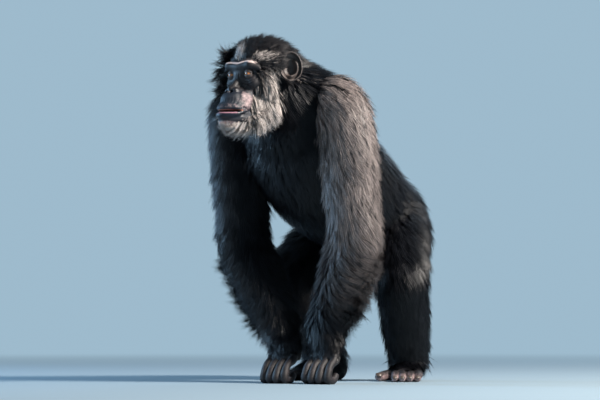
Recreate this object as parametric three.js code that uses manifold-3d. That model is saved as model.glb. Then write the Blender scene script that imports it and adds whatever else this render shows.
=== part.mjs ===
// A life-size adult male chimpanzee that stands on its knuckles and soles and looks past its right hand.
// Millimetres, +Z up. The animal faces -Y and its left side is +X. The floor is z = 0.
import * as THREE from "three";
import { mergeVertices } from "three/addons/utils/BufferGeometryUtils.js";
import Module from "manifold-3d";

const wasm = await Module();
wasm.setup();

const v3 = (x, y, z) => new THREE.Vector3(x, y, z);
const mix = THREE.MathUtils.lerp;
const smooth = THREE.MathUtils.smoothstep;

// Driving dimensions
const GAP = 0.35; // between nodes that touch
const SHOULDER_HEIGHT = 705;
const HIP_HEIGHT = 458;
const SHOULDER_HALF_WIDTH = 154;
const HIP_HALF_WIDTH = 80;
const LEAN = -10; // the shoulders lean this far to the animal's right
const SHOULDER_Y = -208;
const HIP_Y = 195;
const FINGER_RADIUS = 10.4;
const TOE_RADIUS = 9.6;
const EYE_RADIUS = 11;
const COAT_DEPTH = 15; // from the core of the coat out to the tips

// Joint centres, one set for each side
const LIMBS = {
  left: {
    side: 1,
    shoulder: v3(LEAN + SHOULDER_HALF_WIDTH, SHOULDER_Y, SHOULDER_HEIGHT),
    elbow: v3(148, -138, 380),
    wrist: v3(78, -184, 142),
    knuckles: v3(95, -201, 62),
    hip: v3(HIP_HALF_WIDTH, HIP_Y, HIP_HEIGHT),
    knee: v3(170, 45, 272),
    ankle: v3(114, 186, 82),
    footYaw: 28,
  },
  right: {
    side: -1,
    shoulder: v3(LEAN - SHOULDER_HALF_WIDTH, SHOULDER_Y, SHOULDER_HEIGHT),
    elbow: v3(-178, -172, 376),
    wrist: v3(-45, -186, 146),
    knuckles: v3(-30, -206, 62),
    hip: v3(-HIP_HALF_WIDTH, HIP_Y, HIP_HEIGHT),
    knee: v3(-165, 34, 280),
    ankle: v3(-120, 140, 82),
    footYaw: -24,
  },
};

const HEAD = { origin: v3(-11, -322, 800), yaw: 9 }; // the origin is midway between the ears
const COLOURS = {
  coat: { color: 0x15161a, roughness: 0.55, metalness: 0 },
  skin: { color: 0x3a3232, roughness: 0.6, metalness: 0 },
  eye: { color: 0x6b3a1c, roughness: 0.15, metalness: 0 },
};

// A seeded random number between -1 and 1
let seed = 7;
function spread() {
  seed = (seed * 16807) % 2147483647;
  return (seed / 2147483647) * 2 - 1;
}

// Solids
function solidOf(geometry) {
  const bare = new THREE.BufferGeometry().setAttribute("position", geometry.getAttribute("position"));
  if (geometry.index) bare.setIndex(geometry.index);
  const merged = mergeVertices(bare, 1e-3);
  return new wasm.Manifold(
    new wasm.Mesh({
      numProp: 3,
      vertProperties: merged.attributes.position.array,
      triVerts: new Uint32Array(merged.index.array),
    }),
  );
}

function geometryOf(solid) {
  const mesh = solid.getMesh();
  const points = new Float32Array(mesh.numVert * 3);
  for (let i = 0; i < mesh.numVert; i++) {
    points.set(mesh.vertProperties.subarray(i * mesh.numProp, i * mesh.numProp + 3), i * 3);
  }
  const geometry = new THREE.BufferGeometry().setAttribute("position", new THREE.BufferAttribute(points, 3));
  geometry.setIndex(new THREE.BufferAttribute(new Uint32Array(mesh.triVerts), 1));
  return geometry;
}

const join = (solids) => wasm.Manifold.union(solids);

function largest(solid) {
  return solid.decompose().reduce((a, b) => (b.volume() > a.volume() ? b : a));
}

// A closed surface through rings of points, each ring a list of the same length, with a pole at either end
function skinned(firstPole, rings, lastPole) {
  const sides = rings[0].length;
  const points = [firstPole, ...rings.flat(), lastPole];
  const faces = [];
  const at = (ring, i) => 1 + ring * sides + (i % sides);
  for (let i = 0; i < sides; i++) {
    faces.push(0, at(0, i + 1), at(0, i));
    for (let k = 0; k + 1 < rings.length; k++) {
      faces.push(at(k, i), at(k, i + 1), at(k + 1, i + 1), at(k, i), at(k + 1, i + 1), at(k + 1, i));
    }
    faces.push(points.length - 1, at(rings.length - 1, i), at(rings.length - 1, i + 1));
  }
  const geometry = new THREE.BufferGeometry().setFromPoints(points);
  geometry.setIndex(faces);
  return geometry;
}

function facingOut(geometry) {
  const solid = solidOf(geometry);
  if (solid.volume() > 0) return solid;
  const index = geometry.index.array;
  for (let i = 0; i < index.length; i += 3) [index[i + 1], index[i + 2]] = [index[i + 2], index[i + 1]];
  return solidOf(geometry);
}

// Two solids that meet at a plane each keep half of the gap clear of it
function before(solid, point, direction, grow) {
  const n = direction.clone().normalize();
  return solid.trimByPlane([-n.x, -n.y, -n.z], -n.dot(point) + GAP / 2 - grow);
}

function beyond(solid, point, direction, grow) {
  const n = direction.clone().normalize();
  return solid.trimByPlane([n.x, n.y, n.z], n.dot(point) + GAP / 2 - grow);
}

// A limb or trunk: an oval section that follows a curve. Each station is [point, half width, half depth].
class Tube {
  constructor(stations, { across = v3(1, 0, 0), sides = 16, steps = 8, dome = 3, domeLength = 0.7 } = {}) {
    this.curve = new THREE.CatmullRomCurve3(stations.map((s) => s[0]), false, "centripetal");
    this.widths = stations.map((s) => s[1]);
    this.depths = stations.map((s) => s[2] ?? s[1]);
    Object.assign(this, { across, sides, steps, dome, domeLength });
    this.samples = Array.from({ length: 41 }, (_, i) => this.section(i / 40));
  }

  size(list, t) {
    const at = Math.min(t, 0.9999) * (list.length - 1);
    const i = Math.floor(at);
    return mix(list[i], list[i + 1], smooth(at - i, 0, 1) * 0.5 + (at - i) * 0.5);
  }

  section(t) {
    const along = this.curve.getTangent(t);
    const out = this.across.clone().addScaledVector(along, -along.dot(this.across)).normalize();
    return {
      t,
      centre: this.curve.getPoint(t),
      along,
      out,
      up: along.clone().cross(out).normalize(),
      a: this.size(this.widths, t),
      b: this.size(this.depths, t),
    };
  }

  ring(section, scale, shift, grow) {
    return Array.from({ length: this.sides }, (_, i) => {
      const angle = (i / this.sides) * 2 * Math.PI;
      return section.centre
        .clone()
        .addScaledVector(section.along, shift)
        .addScaledVector(section.out, Math.cos(angle) * (section.a * scale + grow * Math.sqrt(scale)))
        .addScaledVector(section.up, Math.sin(angle) * (section.b * scale + grow * Math.sqrt(scale)));
    });
  }

  solid(grow = 0) {
    const [first, last] = [this.section(0), this.section(1)];
    const rings = [];
    const tip = (s) => Math.min(s.a, s.b) * this.domeLength;
    for (let k = 1; k < this.dome; k++) {
      const angle = (k / this.dome) * (Math.PI / 2);
      rings.push(this.ring(first, Math.sin(angle), -(tip(first) + grow) * Math.cos(angle), grow));
    }
    for (let k = 0; k <= this.steps; k++) rings.push(this.ring(this.section(k / this.steps), 1, 0, grow));
    for (let k = this.dome - 1; k > 0; k--) {
      const angle = (k / this.dome) * (Math.PI / 2);
      rings.push(this.ring(last, Math.sin(angle), (tip(last) + grow) * Math.cos(angle), grow));
    }
    const start = first.centre.clone().addScaledVector(first.along, -tip(first) - grow);
    const end = last.centre.clone().addScaledVector(last.along, tip(last) + grow);
    return facingOut(skinned(start, rings, end));
  }

  // Where a point lies over the surface: its height, the outward normal and the station
  over(point) {
    let best = this.samples[0];
    for (const s of this.samples) {
      if (s.centre.distanceToSquared(point) < best.centre.distanceToSquared(point)) best = s;
    }
    const from = point.clone().sub(best.centre);
    const [x, y] = [from.dot(best.out), from.dot(best.up)];
    const reach = Math.hypot(x / best.a, y / best.b) || 1e-6;
    const normal = best.out
      .clone()
      .multiplyScalar(x / best.a ** 2)
      .addScaledVector(best.up, y / best.b ** 2)
      .normalize();
    return { height: Math.hypot(x, y) * (1 - 1 / reach), normal, station: best };
  }

  at(t, angle) {
    const s = this.section(t);
    return s.centre
      .clone()
      .addScaledVector(s.out, Math.cos(angle) * s.a)
      .addScaledVector(s.up, Math.sin(angle) * s.b);
  }
}

// Coat locks: flat tapered blades that creep over a surface along the lie of the coat
function lock(surface, root, lie, { length, width, thick = 7, sink = 9, rise = COAT_DEPTH, grow = 0 }) {
  const shares = [0, 0.3, 0.68, 1];
  const spans = [0.7, 1, 0.62, 0];
  const depths = [1, 1, 0.7, 0];
  const rings = [];
  let point = root.clone();
  let tip = root;
  let reached = 0;
  shares.forEach((share, k) => {
    const steps = 3;
    let dir = v3(0, 0, -1);
    let normal = v3(0, 0, 1);
    for (let j = 0; j < steps; j++) {
      const here = surface.over(point);
      normal = here.normal;
      const flow = lie(point, here).normalize();
      const outward = flow.dot(normal);
      dir = flow.addScaledVector(normal, outward < 0 ? -outward : -0.45 * outward).normalize();
      const step = k ? ((share - shares[k - 1]) * length) / steps : 0;
      point = point.clone().addScaledVector(dir, step);
      reached += step / length;
      const over = surface.over(point);
      const wanted = mix(-sink, rise, reached ** 0.65) + Math.max(0, outward) * 0.45 * length * reached;
      point.addScaledVector(over.normal, wanted - over.height);
    }
    if (share === 1) {
      tip = point;
      return;
    }
    const side = dir.clone().cross(normal).normalize();
    const lift = side.clone().cross(dir).normalize();
    rings.push(
      [0, 1, 2, 3].map((i) => {
        const angle = (i * Math.PI) / 2;
        return point
          .clone()
          .addScaledVector(side, Math.cos(angle) * (width * spans[k] * 0.5 + grow))
          .addScaledVector(lift, Math.sin(angle) * (thick * depths[k] * 0.5 + grow));
      }),
    );
  });
  const start = rings[0].reduce((sum, p) => sum.add(p), v3(0, 0, 0)).multiplyScalar(1 / 4);
  return facingOut(skinned(start, rings, tip));
}

// Rows of locks over part of a tube. Angles run from the tube's own across direction, in degrees.
function coat(tube, lie, { rows, from, to, count, start, turn, length, width, ...rest }) {
  const locks = [];
  for (let row = 0; row < rows; row++) {
    const t = mix(from, to, rows > 1 ? row / (rows - 1) : 0.5);
    for (let i = 0; i < count; i++) {
      const share = (i + 0.25 + (row % 2) * 0.5 + spread() * 0.1) / count;
      const angle = THREE.MathUtils.degToRad(start + turn * share);
      const root = tube.at(THREE.MathUtils.clamp(t + spread() * 0.02, 0.01, 0.99), angle);
      const sizes = { length: length * (1 + spread() * 0.12), width: width * (1 + spread() * 0.1) };
      locks.push(lock(tube, root, lie, { ...sizes, ...rest }));
    }
  }
  return locks;
}

// Trunk
const trunk = new Tube(
  [
    [v3(LEAN, -252, 672), 96, 86],
    [v3(LEAN, -208, 652), 146, 120],
    [v3(-8, -134, 602), 160, 150],
    [v3(-4, -46, 545), 162, 157],
    [v3(0, 50, 500), 154, 150],
    [v3(0, 134, 476), 140, 124],
    [v3(0, 200, 462), 128, 98],
    [v3(0, 254, 438), 98, 78],
  ],
  { sides: 16, steps: 8, dome: 2, domeLength: 0.55 },
);
const trunkSolid = (grow) => trunk.solid(grow);

// Neck
const neck = new Tube(
  [
    [v3(LEAN, -140, 680), 158, 116],
    [v3(LEAN, -206, 728), 142, 104],
    [v3(-11, -272, 760), 98, 90],
    [v3(-12, -318, 784), 50, 54],
  ],
  { sides: 14, steps: 5, dome: 2 },
);

// Head, worked out as a field: the distance from a point in head axes (forward, left, up) to its surface
const TO_HEAD = new THREE.Matrix4()
  .makeRotationZ(THREE.MathUtils.degToRad(-90 - HEAD.yaw))
  .setPosition(HEAD.origin);
const headPoint = (f, l, z) => v3(f, l, z).applyMatrix4(TO_HEAD);
const FROM_HEAD = TO_HEAD.clone().invert();

const blend = (a, b, k) => {
  const h = Math.max(k - Math.abs(a - b), 0) / k;
  return Math.min(a, b) - h * h * k * 0.25;
};
const carve = (a, b, k) => -blend(-a, b, k);
const oval = (p, c, r) => {
  const [x, y, z] = [p.x - c[0], p.y - c[1], p.z - c[2]];
  const k0 = Math.hypot(x / r[0], y / r[1], z / r[2]);
  const k1 = Math.hypot(x / r[0] ** 2, y / r[1] ** 2, z / r[2] ** 2) || 1e-9;
  return (k0 * (k0 - 1)) / k1;
};
const bar = (p, a, b, ra, rb) => {
  const ab = v3(b[0] - a[0], b[1] - a[1], b[2] - a[2]);
  const ap = v3(p.x - a[0], p.y - a[1], p.z - a[2]);
  const t = THREE.MathUtils.clamp(ap.dot(ab) / ab.lengthSq(), 0, 1);
  return ap.addScaledVector(ab, -t).length() - mix(ra, rb, t);
};

const EYE = [86, 29, -22];
const MOUTH_HEIGHT = -118.5;

function headField(point) {
  const p = v3(point.x, Math.abs(point.y), point.z); // both sides are alike
  let d = oval(p, [0, 0, 12], [92, 68, 52]);
  d = blend(d, oval(p, [50, 0, -26], [50, 60, 44]), 20);
  d = blend(d, oval(p, [36, 0, -84], [58, 54, 50]), 22);
  d = blend(d, bar(p, [80, 41, -44], [46, 60, -36], 15, 13), 12);
  d = blend(d, bar(p, [30, 46, -100], [98, 24, -140], 20, 19), 16);
  d = blend(d, oval(p, [92, 0, -90], [58, 42, 34]), 16);
  d = blend(d, oval(p, [104, 0, -142], [44, 36, 21]), 12);
  d = carve(d, oval(p, [110, 30, -24], [20, 18, 12]), 9);
  d = blend(d, bar(p, [84, 0, -20], [115, 0, -56], 8, 10), 9);
  d = blend(d, bar(p, [80, 57, -12], [93, 36, 5], 9.5, 10.5), 8);
  d = blend(d, bar(p, [93, 36, 5], [97, 0, 1], 10.5, 9.5), 8);
  d = blend(d, oval(p, [119, 11, -63], [12.5, 10.5, 8]), 5);
  d = blend(d, oval(p, [110, 0, -106], [50, 41, 14]), 10);
  d = blend(d, oval(p, [108, 0, -132], [52, 37, 13]), 10);
  return d;
}

const headSurface = {
  over(point) {
    const p = point.clone().applyMatrix4(FROM_HEAD);
    const step = 1;
    const slope = v3(
      headField(v3(p.x + step, p.y, p.z)) - headField(v3(p.x - step, p.y, p.z)),
      headField(v3(p.x, p.y + step, p.z)) - headField(v3(p.x, p.y - step, p.z)),
      headField(v3(p.x, p.y, p.z + step)) - headField(v3(p.x, p.y, p.z - step)),
    ).normalize();
    return { height: headField(p), normal: slope.transformDirection(TO_HEAD) };
  },
};

// The head's surface is found along rays from its middle. Rings run round the way the mouth faces.
const HEAD_MIDDLE = v3(38, 0, -50);
const HEAD_POLE = v3(118, 0, -76).normalize();

function headRay(direction, level) {
  let near = 0;
  let far = 200;
  for (let i = 0; i < 26; i++) {
    const middle = (near + far) / 2;
    if (headField(HEAD_MIDDLE.clone().addScaledVector(direction, middle)) < level) near = middle;
    else far = middle;
  }
  return HEAD_MIDDLE.clone().addScaledVector(direction, near).applyMatrix4(TO_HEAD);
}

function headShell(grow, sides = 32, count = 22) {
  const side = v3(0, 1, 0);
  const up = HEAD_POLE.clone().cross(side).normalize();
  const rings = [];
  for (let k = 1; k < count; k++) {
    const share = k / count;
    const polar = Math.PI * (0.62 * share + 0.38 * share ** 2);
    rings.push(
      Array.from({ length: sides }, (_, i) => {
        const round = (i / sides) * 2 * Math.PI;
        const ray = HEAD_POLE.clone()
          .multiplyScalar(Math.cos(polar))
          .addScaledVector(side, Math.sin(polar) * Math.cos(round))
          .addScaledVector(up, Math.sin(polar) * Math.sin(round));
        return headRay(ray, grow);
      }),
    );
  }
  return facingOut(skinned(headRay(HEAD_POLE, grow), rings, headRay(HEAD_POLE.clone().negate(), grow)));
}

function headOval(centre, radii, detail) {
  const ball = new THREE.SphereGeometry(1, detail, Math.round(detail * 0.7));
  ball.scale(...radii).translate(...centre).applyMatrix4(TO_HEAD);
  return solidOf(ball);
}

// A lip runs from one corner of the mouth round the front to the other
function lip(height, front, radius, swell) {
  const corner = [112, 37, MOUTH_HEIGHT];
  const stations = [
    [headPoint(corner[0] - 6, corner[1] + 2, corner[2]), 2.5, 2.5],
    [headPoint(mix(corner[0], front, 0.55), corner[1] * 0.78, height - swell * 0.4), radius * 0.8],
    [headPoint(front, 0, height), radius * 1.1, radius],
    [headPoint(mix(corner[0], front, 0.55), -corner[1] * 0.78, height - swell * 0.4), radius * 0.8],
    [headPoint(corner[0] - 6, -corner[1] - 2, corner[2]), 2.5, 2.5],
  ];
  return new Tube(stations, { across: v3(0, 0, 1), sides: 6, steps: 6, dome: 1 }).solid();
}

function headSolid(grow) {
  let head = headShell(grow).subtract(neck.solid(GAP - grow));
  if (grow) return head;
  head = join([head, lip(-112, 161, 5.5, 0), lip(-125, 165, 6, -1)]);
  for (const side of [1, -1]) {
    const [f, l, z] = EYE;
    const lids = headOval([f, l * side, z], [13.2, 13.4, 13], 12).subtract(
      headOval([f + 12, l * side, z + 0.5], [12, 11, 4.6], 10),
    );
    head = head.add(lids).subtract(headOval([f, l * side, z], Array(3).fill(EYE_RADIUS + GAP), 12));
    head = head.subtract(headOval([130, 8.5 * side, -68], [8, 4.6, 4], 8));
    head = head.subtract(earSolid(side, GAP, true));
  }
  return head.subtract(headOval([130, 0, MOUTH_HEIGHT], [46, 39, 2.4], 14));
}

// Ears: rings from the hollow out over the rolled rim and back to the root. Each is [reach, depth].
const EAR = { place: [2, 62, -5], height: 43, width: 32, lean: 48, tilt: 10, sides: 14 };
const EAR_RINGS = [
  [0.3, -9],
  [0.5, -5],
  [0.6, 2],
  [0.72, -1],
  [0.84, -1],
  [0.9, 4],
  [0.98, 4],
  [1, 0],
  [0.86, -6],
  [0.6, -12],
  [0.42, -24],
];

function earSolid(side, grow, filled = false) {
  const { place, height, width, lean, tilt, sides } = EAR;
  const set = new THREE.Matrix4()
    .makeRotationZ(THREE.MathUtils.degToRad(lean * side))
    .multiply(new THREE.Matrix4().makeRotationY(THREE.MathUtils.degToRad(-tilt)))
    .setPosition(place[0], place[1] * side, place[2]);
  const inHead = (p) => p.applyMatrix4(set).applyMatrix4(TO_HEAD);
  const rings = EAR_RINGS.map(([reach, depth], k) => {
    const outward = filled || k > 6 ? grow : -grow;
    const forward = k > 6 ? -grow : grow;
    return Array.from({ length: sides }, (_, i) => {
      const angle = (i / sides) * 2 * Math.PI;
      const lobe = 1 - 0.16 * smooth(-Math.sin(angle), 0.3, 1);
      const out = width * 0.86 + Math.cos(angle) * (width * reach * lobe + outward);
      const up = Math.sin(angle) * (height * reach * lobe + outward);
      return inHead(v3(depth + forward, out * side, up));
    });
  });
  const root = inHead(v3(-26 - grow, width * 0.8 * side, 0));
  if (filled) return facingOut(skinned(inHead(v3(4 + grow, width * 0.86 * side, 0)), rings.slice(6), root));
  const hollow = inHead(v3(-10 + grow, (width * 0.86 - 6) * side, -3));
  return facingOut(skinned(hollow, rings, root)).subtract(neck.solid(GAP - grow));
}

// Hands: a flat palm with its back to the front, and fingers folded so that the knuckles carry the weight
const FINGERS = [
  { place: 1.5, reach: 0.96, raise: 2 },
  { place: 0.5, reach: 1.06, raise: 0 },
  { place: -0.5, reach: 1.0, raise: 0 },
  { place: -1.5, reach: 0.86, raise: 0 },
];
const FINGER_PITCH = 2 * FINGER_RADIUS + 0.8;

function palmTube({ wrist, knuckles }) {
  return new Tube(
    [
      [wrist, 34, 28],
      [wrist.clone().lerp(knuckles, 0.3), 35, 23],
      [wrist.clone().lerp(knuckles, 0.7).add(v3(0, 3, 0)), 41, 20],
      [knuckles, 43, 17],
    ],
    { sides: 12, steps: 3, dome: 2 },
  );
}

function fingerTube({ wrist, knuckles, side }, { place, reach, raise }) {
  const r = FINGER_RADIUS;
  const root = knuckles.clone().add(v3(-side * place * FINGER_PITCH, -2, 0));
  const bend = root.clone().add(v3(0, -42 * reach, 0)).setZ(r + 2 + raise);
  const fold = bend.clone().add(v3(0, 28 * reach, 0)).setZ(r - 1);
  const tip = fold.clone().add(v3(0, 14, 12));
  return new Tube(
    [
      [root.clone().lerp(wrist, 0.1).setX(root.x), r - 1, r + 3],
      [root, r, r + 2],
      [root.clone().lerp(bend, 0.5).add(v3(0, -8, 7)), r],
      [bend, r],
      [fold, r - 0.5],
      [tip, r - 2],
    ],
    { sides: 8, steps: 6, dome: 2, domeLength: 0.8 },
  );
}

function thumbTube({ wrist, knuckles, side }) {
  const root = wrist.clone().lerp(knuckles, 0.4).add(v3(-side * 37, 8, 6));
  const tip = root.clone().add(v3(-side * 4, 2, -50));
  return new Tube(
    [
      [root, 11, 11],
      [root.clone().lerp(tip, 0.5).add(v3(-side * 3, -2, 0)), 9],
      [tip, 8],
    ],
    { sides: 8, steps: 4, dome: 2, domeLength: 0.8 },
  );
}

// Feet: a broad sole, four toes and a big toe that stands apart like a thumb
const TOES = [
  { place: 1.5, length: 56 },
  { place: 0.5, length: 62 },
  { place: -0.5, length: 57 },
  { place: -1.5, length: 48 },
];
const TOE_PITCH = 2 * TOE_RADIUS + 0.6;
const BALL_OF_FOOT = 92; // ahead of the ankle

function footAxes({ ankle, footYaw }) {
  const yaw = THREE.MathUtils.degToRad(footYaw);
  const ahead = v3(Math.sin(yaw), -Math.cos(yaw), 0);
  const left = v3(Math.cos(yaw), Math.sin(yaw), 0);
  return {
    ahead,
    left,
    at: (forward, across, height) =>
      ankle.clone().setZ(height).addScaledVector(ahead, forward).addScaledVector(left, across),
  };
}

function footTube(limb) {
  const { left, at } = footAxes(limb);
  return new Tube(
    [
      [at(-46, 0, 25), 26, 27],
      [at(-18, 0, 32), 34, 34],
      [at(34, 0, 28), 36, 30],
      [at(70, 0, 18), 42, 21],
      [at(BALL_OF_FOOT, 0, 15), 41, 17],
    ],
    { across: left, sides: 12, steps: 5, dome: 2 },
  );
}

function toeTube(limb, { place, length }) {
  const { left, at } = footAxes(limb);
  const r = TOE_RADIUS;
  const across = -limb.side * place * TOE_PITCH;
  return new Tube(
    [
      [at(BALL_OF_FOOT - 6, across, 16), r],
      [at(BALL_OF_FOOT + length * 0.4, across, 20), r],
      [at(BALL_OF_FOOT + length * 0.8, across, 12), r],
      [at(BALL_OF_FOOT + length, across, r - 1.5), r - 1],
    ],
    { across: left, sides: 8, steps: 4, dome: 2, domeLength: 0.8 },
  );
}

function bigToeTube(limb) {
  const { left, at } = footAxes(limb);
  const inward = -limb.side;
  return new Tube(
    [
      [at(26, inward * 26, 20), 17, 16],
      [at(52, inward * 52, 16), 14],
      [at(80, inward * 68, 13), 13],
      [at(98, inward * 74, 12), 11],
    ],
    { across: left, sides: 8, steps: 5, dome: 2, domeLength: 0.8 },
  );
}

// Limbs
function upperArmTube({ shoulder, elbow, side }) {
  return new Tube(
    [
      [shoulder.clone().add(v3(-side * 38, 6, 38)), 52, 64],
      [shoulder.clone().add(v3(-side * 2, 0, 0)), 69, 78],
      [shoulder.clone().lerp(elbow, 0.34).add(v3(side * 4, 0, 0)), 72, 75],
      [shoulder.clone().lerp(elbow, 0.75), 66, 68],
      [elbow, 62, 64],
    ],
    { sides: 12, steps: 6, dome: 2 },
  );
}

function forearmTube({ elbow, wrist }) {
  return new Tube(
    [
      [elbow, 61, 63],
      [elbow.clone().lerp(wrist, 0.25), 61, 61],
      [elbow.clone().lerp(wrist, 0.6), 53, 50],
      [elbow.clone().lerp(wrist, 0.88), 39, 34],
      [wrist, 34, 28],
    ],
    { sides: 12, steps: 5, dome: 2 },
  );
}

function thighTube({ hip, knee, side }) {
  return new Tube(
    [
      [hip.clone().add(v3(-side * 16, 10, 8)), 68, 78],
      [hip.clone().lerp(knee, 0.3).add(v3(0, 8, 0)), 76, 84],
      [hip.clone().lerp(knee, 0.7), 71, 76],
      [knee, 62, 64],
    ],
    { sides: 12, steps: 5, dome: 2 },
  );
}

function shinTube({ knee, ankle }) {
  return new Tube(
    [
      [knee, 62, 64],
      [knee.clone().lerp(ankle, 0.35).add(v3(0, 6, 0)), 64, 65],
      [knee.clone().lerp(ankle, 0.75).add(v3(0, -2, 0)), 61, 60],
      [ankle.clone().add(v3(0, 2, -14)), 49, 50],
    ],
    { sides: 12, steps: 5, dome: 2 },
  );
}

// The lie of the coat: a direction for each place on the body
const LIE = {
  trunk: (p, here) => here.station.along.clone().add(v3(0, 0, -0.4 - 1.1 * smooth(p.y, 60, 240))),
  neck: (p) => v3((p.x - LEAN) * 0.004, 0.6, -0.7),
  crown: (p) => v3((p.x - HEAD.origin.x) * 0.008, 0.9, 0.16),
  temple: (side) => () => v3(side * 0.5, 0.8, 0.05),
  cheek: (p) => v3((p.x - HEAD.origin.x) * 0.004, 0.4, -1),
  chin: () => v3(0, -0.1, -1),
  upperArm: (side) => (p, here) => here.station.along.clone().add(v3(side * 0.2, 0.2, 0)),
  forearm: (side) => () => v3(side * 0.8, 0.35, -0.7),
  thigh: (side) => (p, here) => here.station.along.clone().add(v3(side * 0.1, 0.8, -0.8)),
  shin: (side) => (p, here) => here.station.along.clone().add(v3(side * 0.15, 0.1, -0.3)),
};

const headLock = (f, l, z, lie, sizes) =>
  lock(headSurface, headRay(v3(f, l, z).normalize(), 0), lie, sizes);

function headLocks(grow) {
  const locks = [];
  for (const side of [-1, 1]) {
    locks.push(headLock(0.68, side * 0.22, -1, LIE.chin, { length: 46, width: 40, rise: 14, grow }));
    locks.push(headLock(0.35, side * 0.5, -1, LIE.chin, { length: 50, width: 44, rise: 14, grow }));
    locks.push(headLock(0.1, side, -0.02, LIE.cheek, { length: 72, width: 50, rise: 13, grow }));
    locks.push(headLock(0.3, side, -0.62, LIE.cheek, { length: 70, width: 50, rise: 13, grow }));
    locks.push(headLock(0.25, side * 0.9, 0.5, LIE.temple(side), { length: 58, width: 48, rise: 20, grow }));
    locks.push(headLock(-0.15, side * 0.45, 1, LIE.crown, { length: 62, width: 54, grow }));
  }
  locks.push(headLock(0.3, 0, 1, LIE.crown, { length: 62, width: 52, grow }));
  locks.push(headLock(-0.55, 0, 1, LIE.crown, { length: 54, width: 56, grow }));
  return locks;
}

// Each coat is set by its rows along the tube and by the arc that they cover
function torsoLocks(grow) {
  const back = { rows: 4, from: 0.3, to: 0.82, count: 4, start: 190, turn: 160 };
  const belly = { rows: 2, from: 0.35, to: 0.7, count: 2, start: 35, turn: 110 };
  return [
    ...coat(trunk, LIE.trunk, { ...back, length: 124, width: 84, grow }),
    ...coat(trunk, LIE.trunk, { ...belly, length: 100, width: 70, rise: 10, grow }),
  ];
}

function neckLocks(grow) {
  const nape = { rows: 1, from: 0.3, to: 0.3, count: 4, start: 5, turn: 170 };
  return coat(neck, LIE.neck, { ...nape, length: 120, width: 80, grow });
}

const upperArmLocks = (tube, side) => (grow) => {
  const outside = { rows: 2, from: 0.22, to: 0.62, count: 4, start: side > 0 ? -110 : 70, turn: 220 };
  return coat(tube, LIE.upperArm(side), { ...outside, length: 136, width: 77, rise: 17, grow });
};

const forearmLocks = (tube, side) => (grow) => {
  const round = { rows: 2, from: 0.12, to: 0.62, count: 4, start: side > 0 ? -130 : 50, turn: 270 };
  return coat(tube, LIE.forearm(side), { ...round, length: 104, width: 66, rise: 18, grow });
};

const thighLocks = (tube, side) => (grow) => {
  const outside = { rows: 2, from: 0.3, to: 0.78, count: 4, start: side > 0 ? -120 : 60, turn: 240 };
  return coat(tube, LIE.thigh(side), { ...outside, length: 132, width: 82, rise: 12, grow });
};

const shinLocks = (tube, side) => (grow) => {
  const round = { rows: 2, from: 0.2, to: 0.72, count: 4, start: 0, turn: 360 };
  return coat(tube, LIE.shin(side), { ...round, length: 108, width: 70, rise: 13, grow });
};

// Nodes. Each shape can also be grown by the gap, to keep its neighbours' locks clear of it.
const parts = [];
const part = (name, look, shape, locks) => parts.push({ name, look, shape, locks });
const less = (solid, others) => others.reduce((rest, other) => rest.subtract(other), solid);
const way = (from, to) => to.clone().sub(from).normalize();
const bend = (a, b, c) => way(a, b).add(way(b, c));

part("neck", "coat", (grow) => neck.solid(grow).subtract(trunk.solid(GAP - grow)), neckLocks);
part("head", "skin", headSolid, headLocks);
part("torso", "coat", (grow) => trunk.solid(grow), torsoLocks);

for (const [word, limb] of Object.entries(LIMBS)) {
  const { side, shoulder, elbow, wrist, knuckles, hip, knee, ankle } = limb;

  part(`ear_${word}`, "skin", (grow) => earSolid(side, grow));
  const eye = [EYE[0], EYE[1] * side, EYE[2]];
  part(`eye_${word}`, "eye", (grow) => headOval(eye, Array(3).fill(EYE_RADIUS + grow), 12));

  const elbowBend = bend(shoulder, elbow, wrist);
  const upperArm = upperArmTube(limb);
  const upperArmShape = (grow) => {
    const rest = less(upperArm.solid(grow), [trunk.solid(GAP - grow), neck.solid(GAP - grow)]);
    return before(rest, elbow, elbowBend, grow);
  };
  part(`upper_arm_${word}`, "coat", upperArmShape, upperArmLocks(upperArm, side));

  const wristBend = bend(elbow, wrist, knuckles);
  const forearm = forearmTube(limb);
  const forearmShape = (grow) =>
    before(beyond(forearm.solid(grow), elbow, elbowBend, grow), wrist, wristBend, grow);
  part(`forearm_${word}`, "coat", forearmShape, forearmLocks(forearm, side));

  const palm = palmTube(limb);
  const palmEnd = way(wrist, knuckles);
  const palmShape = (grow) =>
    before(beyond(palm.solid(grow), wrist, wristBend, grow), knuckles, palmEnd, grow);
  part(`hand_${word}`, "skin", palmShape);
  FINGERS.forEach((finger, i) => {
    const tube = fingerTube(limb, finger);
    part(`finger_${word}_${i + 1}`, "skin", (grow) => beyond(tube.solid(grow), knuckles, palmEnd, grow));
  });
  const thumb = thumbTube(limb);
  part(`thumb_${word}`, "skin", (grow) => thumb.solid(grow).subtract(palm.solid(GAP - grow)));

  const kneeBend = bend(hip, knee, ankle);
  const thigh = thighTube(limb);
  const thighShape = (grow) =>
    before(thigh.solid(grow).subtract(trunk.solid(GAP - grow)), knee, kneeBend, grow);
  part(`thigh_${word}`, "coat", thighShape, thighLocks(thigh, side));

  const shin = shinTube(limb);
  const shinShape = (grow) => beyond(shin.solid(grow), knee, kneeBend, grow);
  part(`shin_${word}`, "coat", shinShape, shinLocks(shin, side));

  const { ahead, at } = footAxes(limb);
  const ball = at(BALL_OF_FOOT, 0, 0);
  const foot = footTube(limb);
  const footShape = (grow) =>
    before(foot.solid(grow).subtract(shin.solid(GAP - grow)), ball, ahead, grow);
  part(`foot_${word}`, "skin", footShape);
  TOES.forEach((toe, i) => {
    const tube = toeTube(limb, toe);
    part(`toe_${word}_${i + 1}`, "skin", (grow) => beyond(tube.solid(grow), ball, ahead, grow));
  });
  const bigToe = bigToeTube(limb);
  part(`big_toe_${word}`, "skin", (grow) => bigToe.solid(grow).subtract(foot.solid(GAP - grow)));
}

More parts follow.
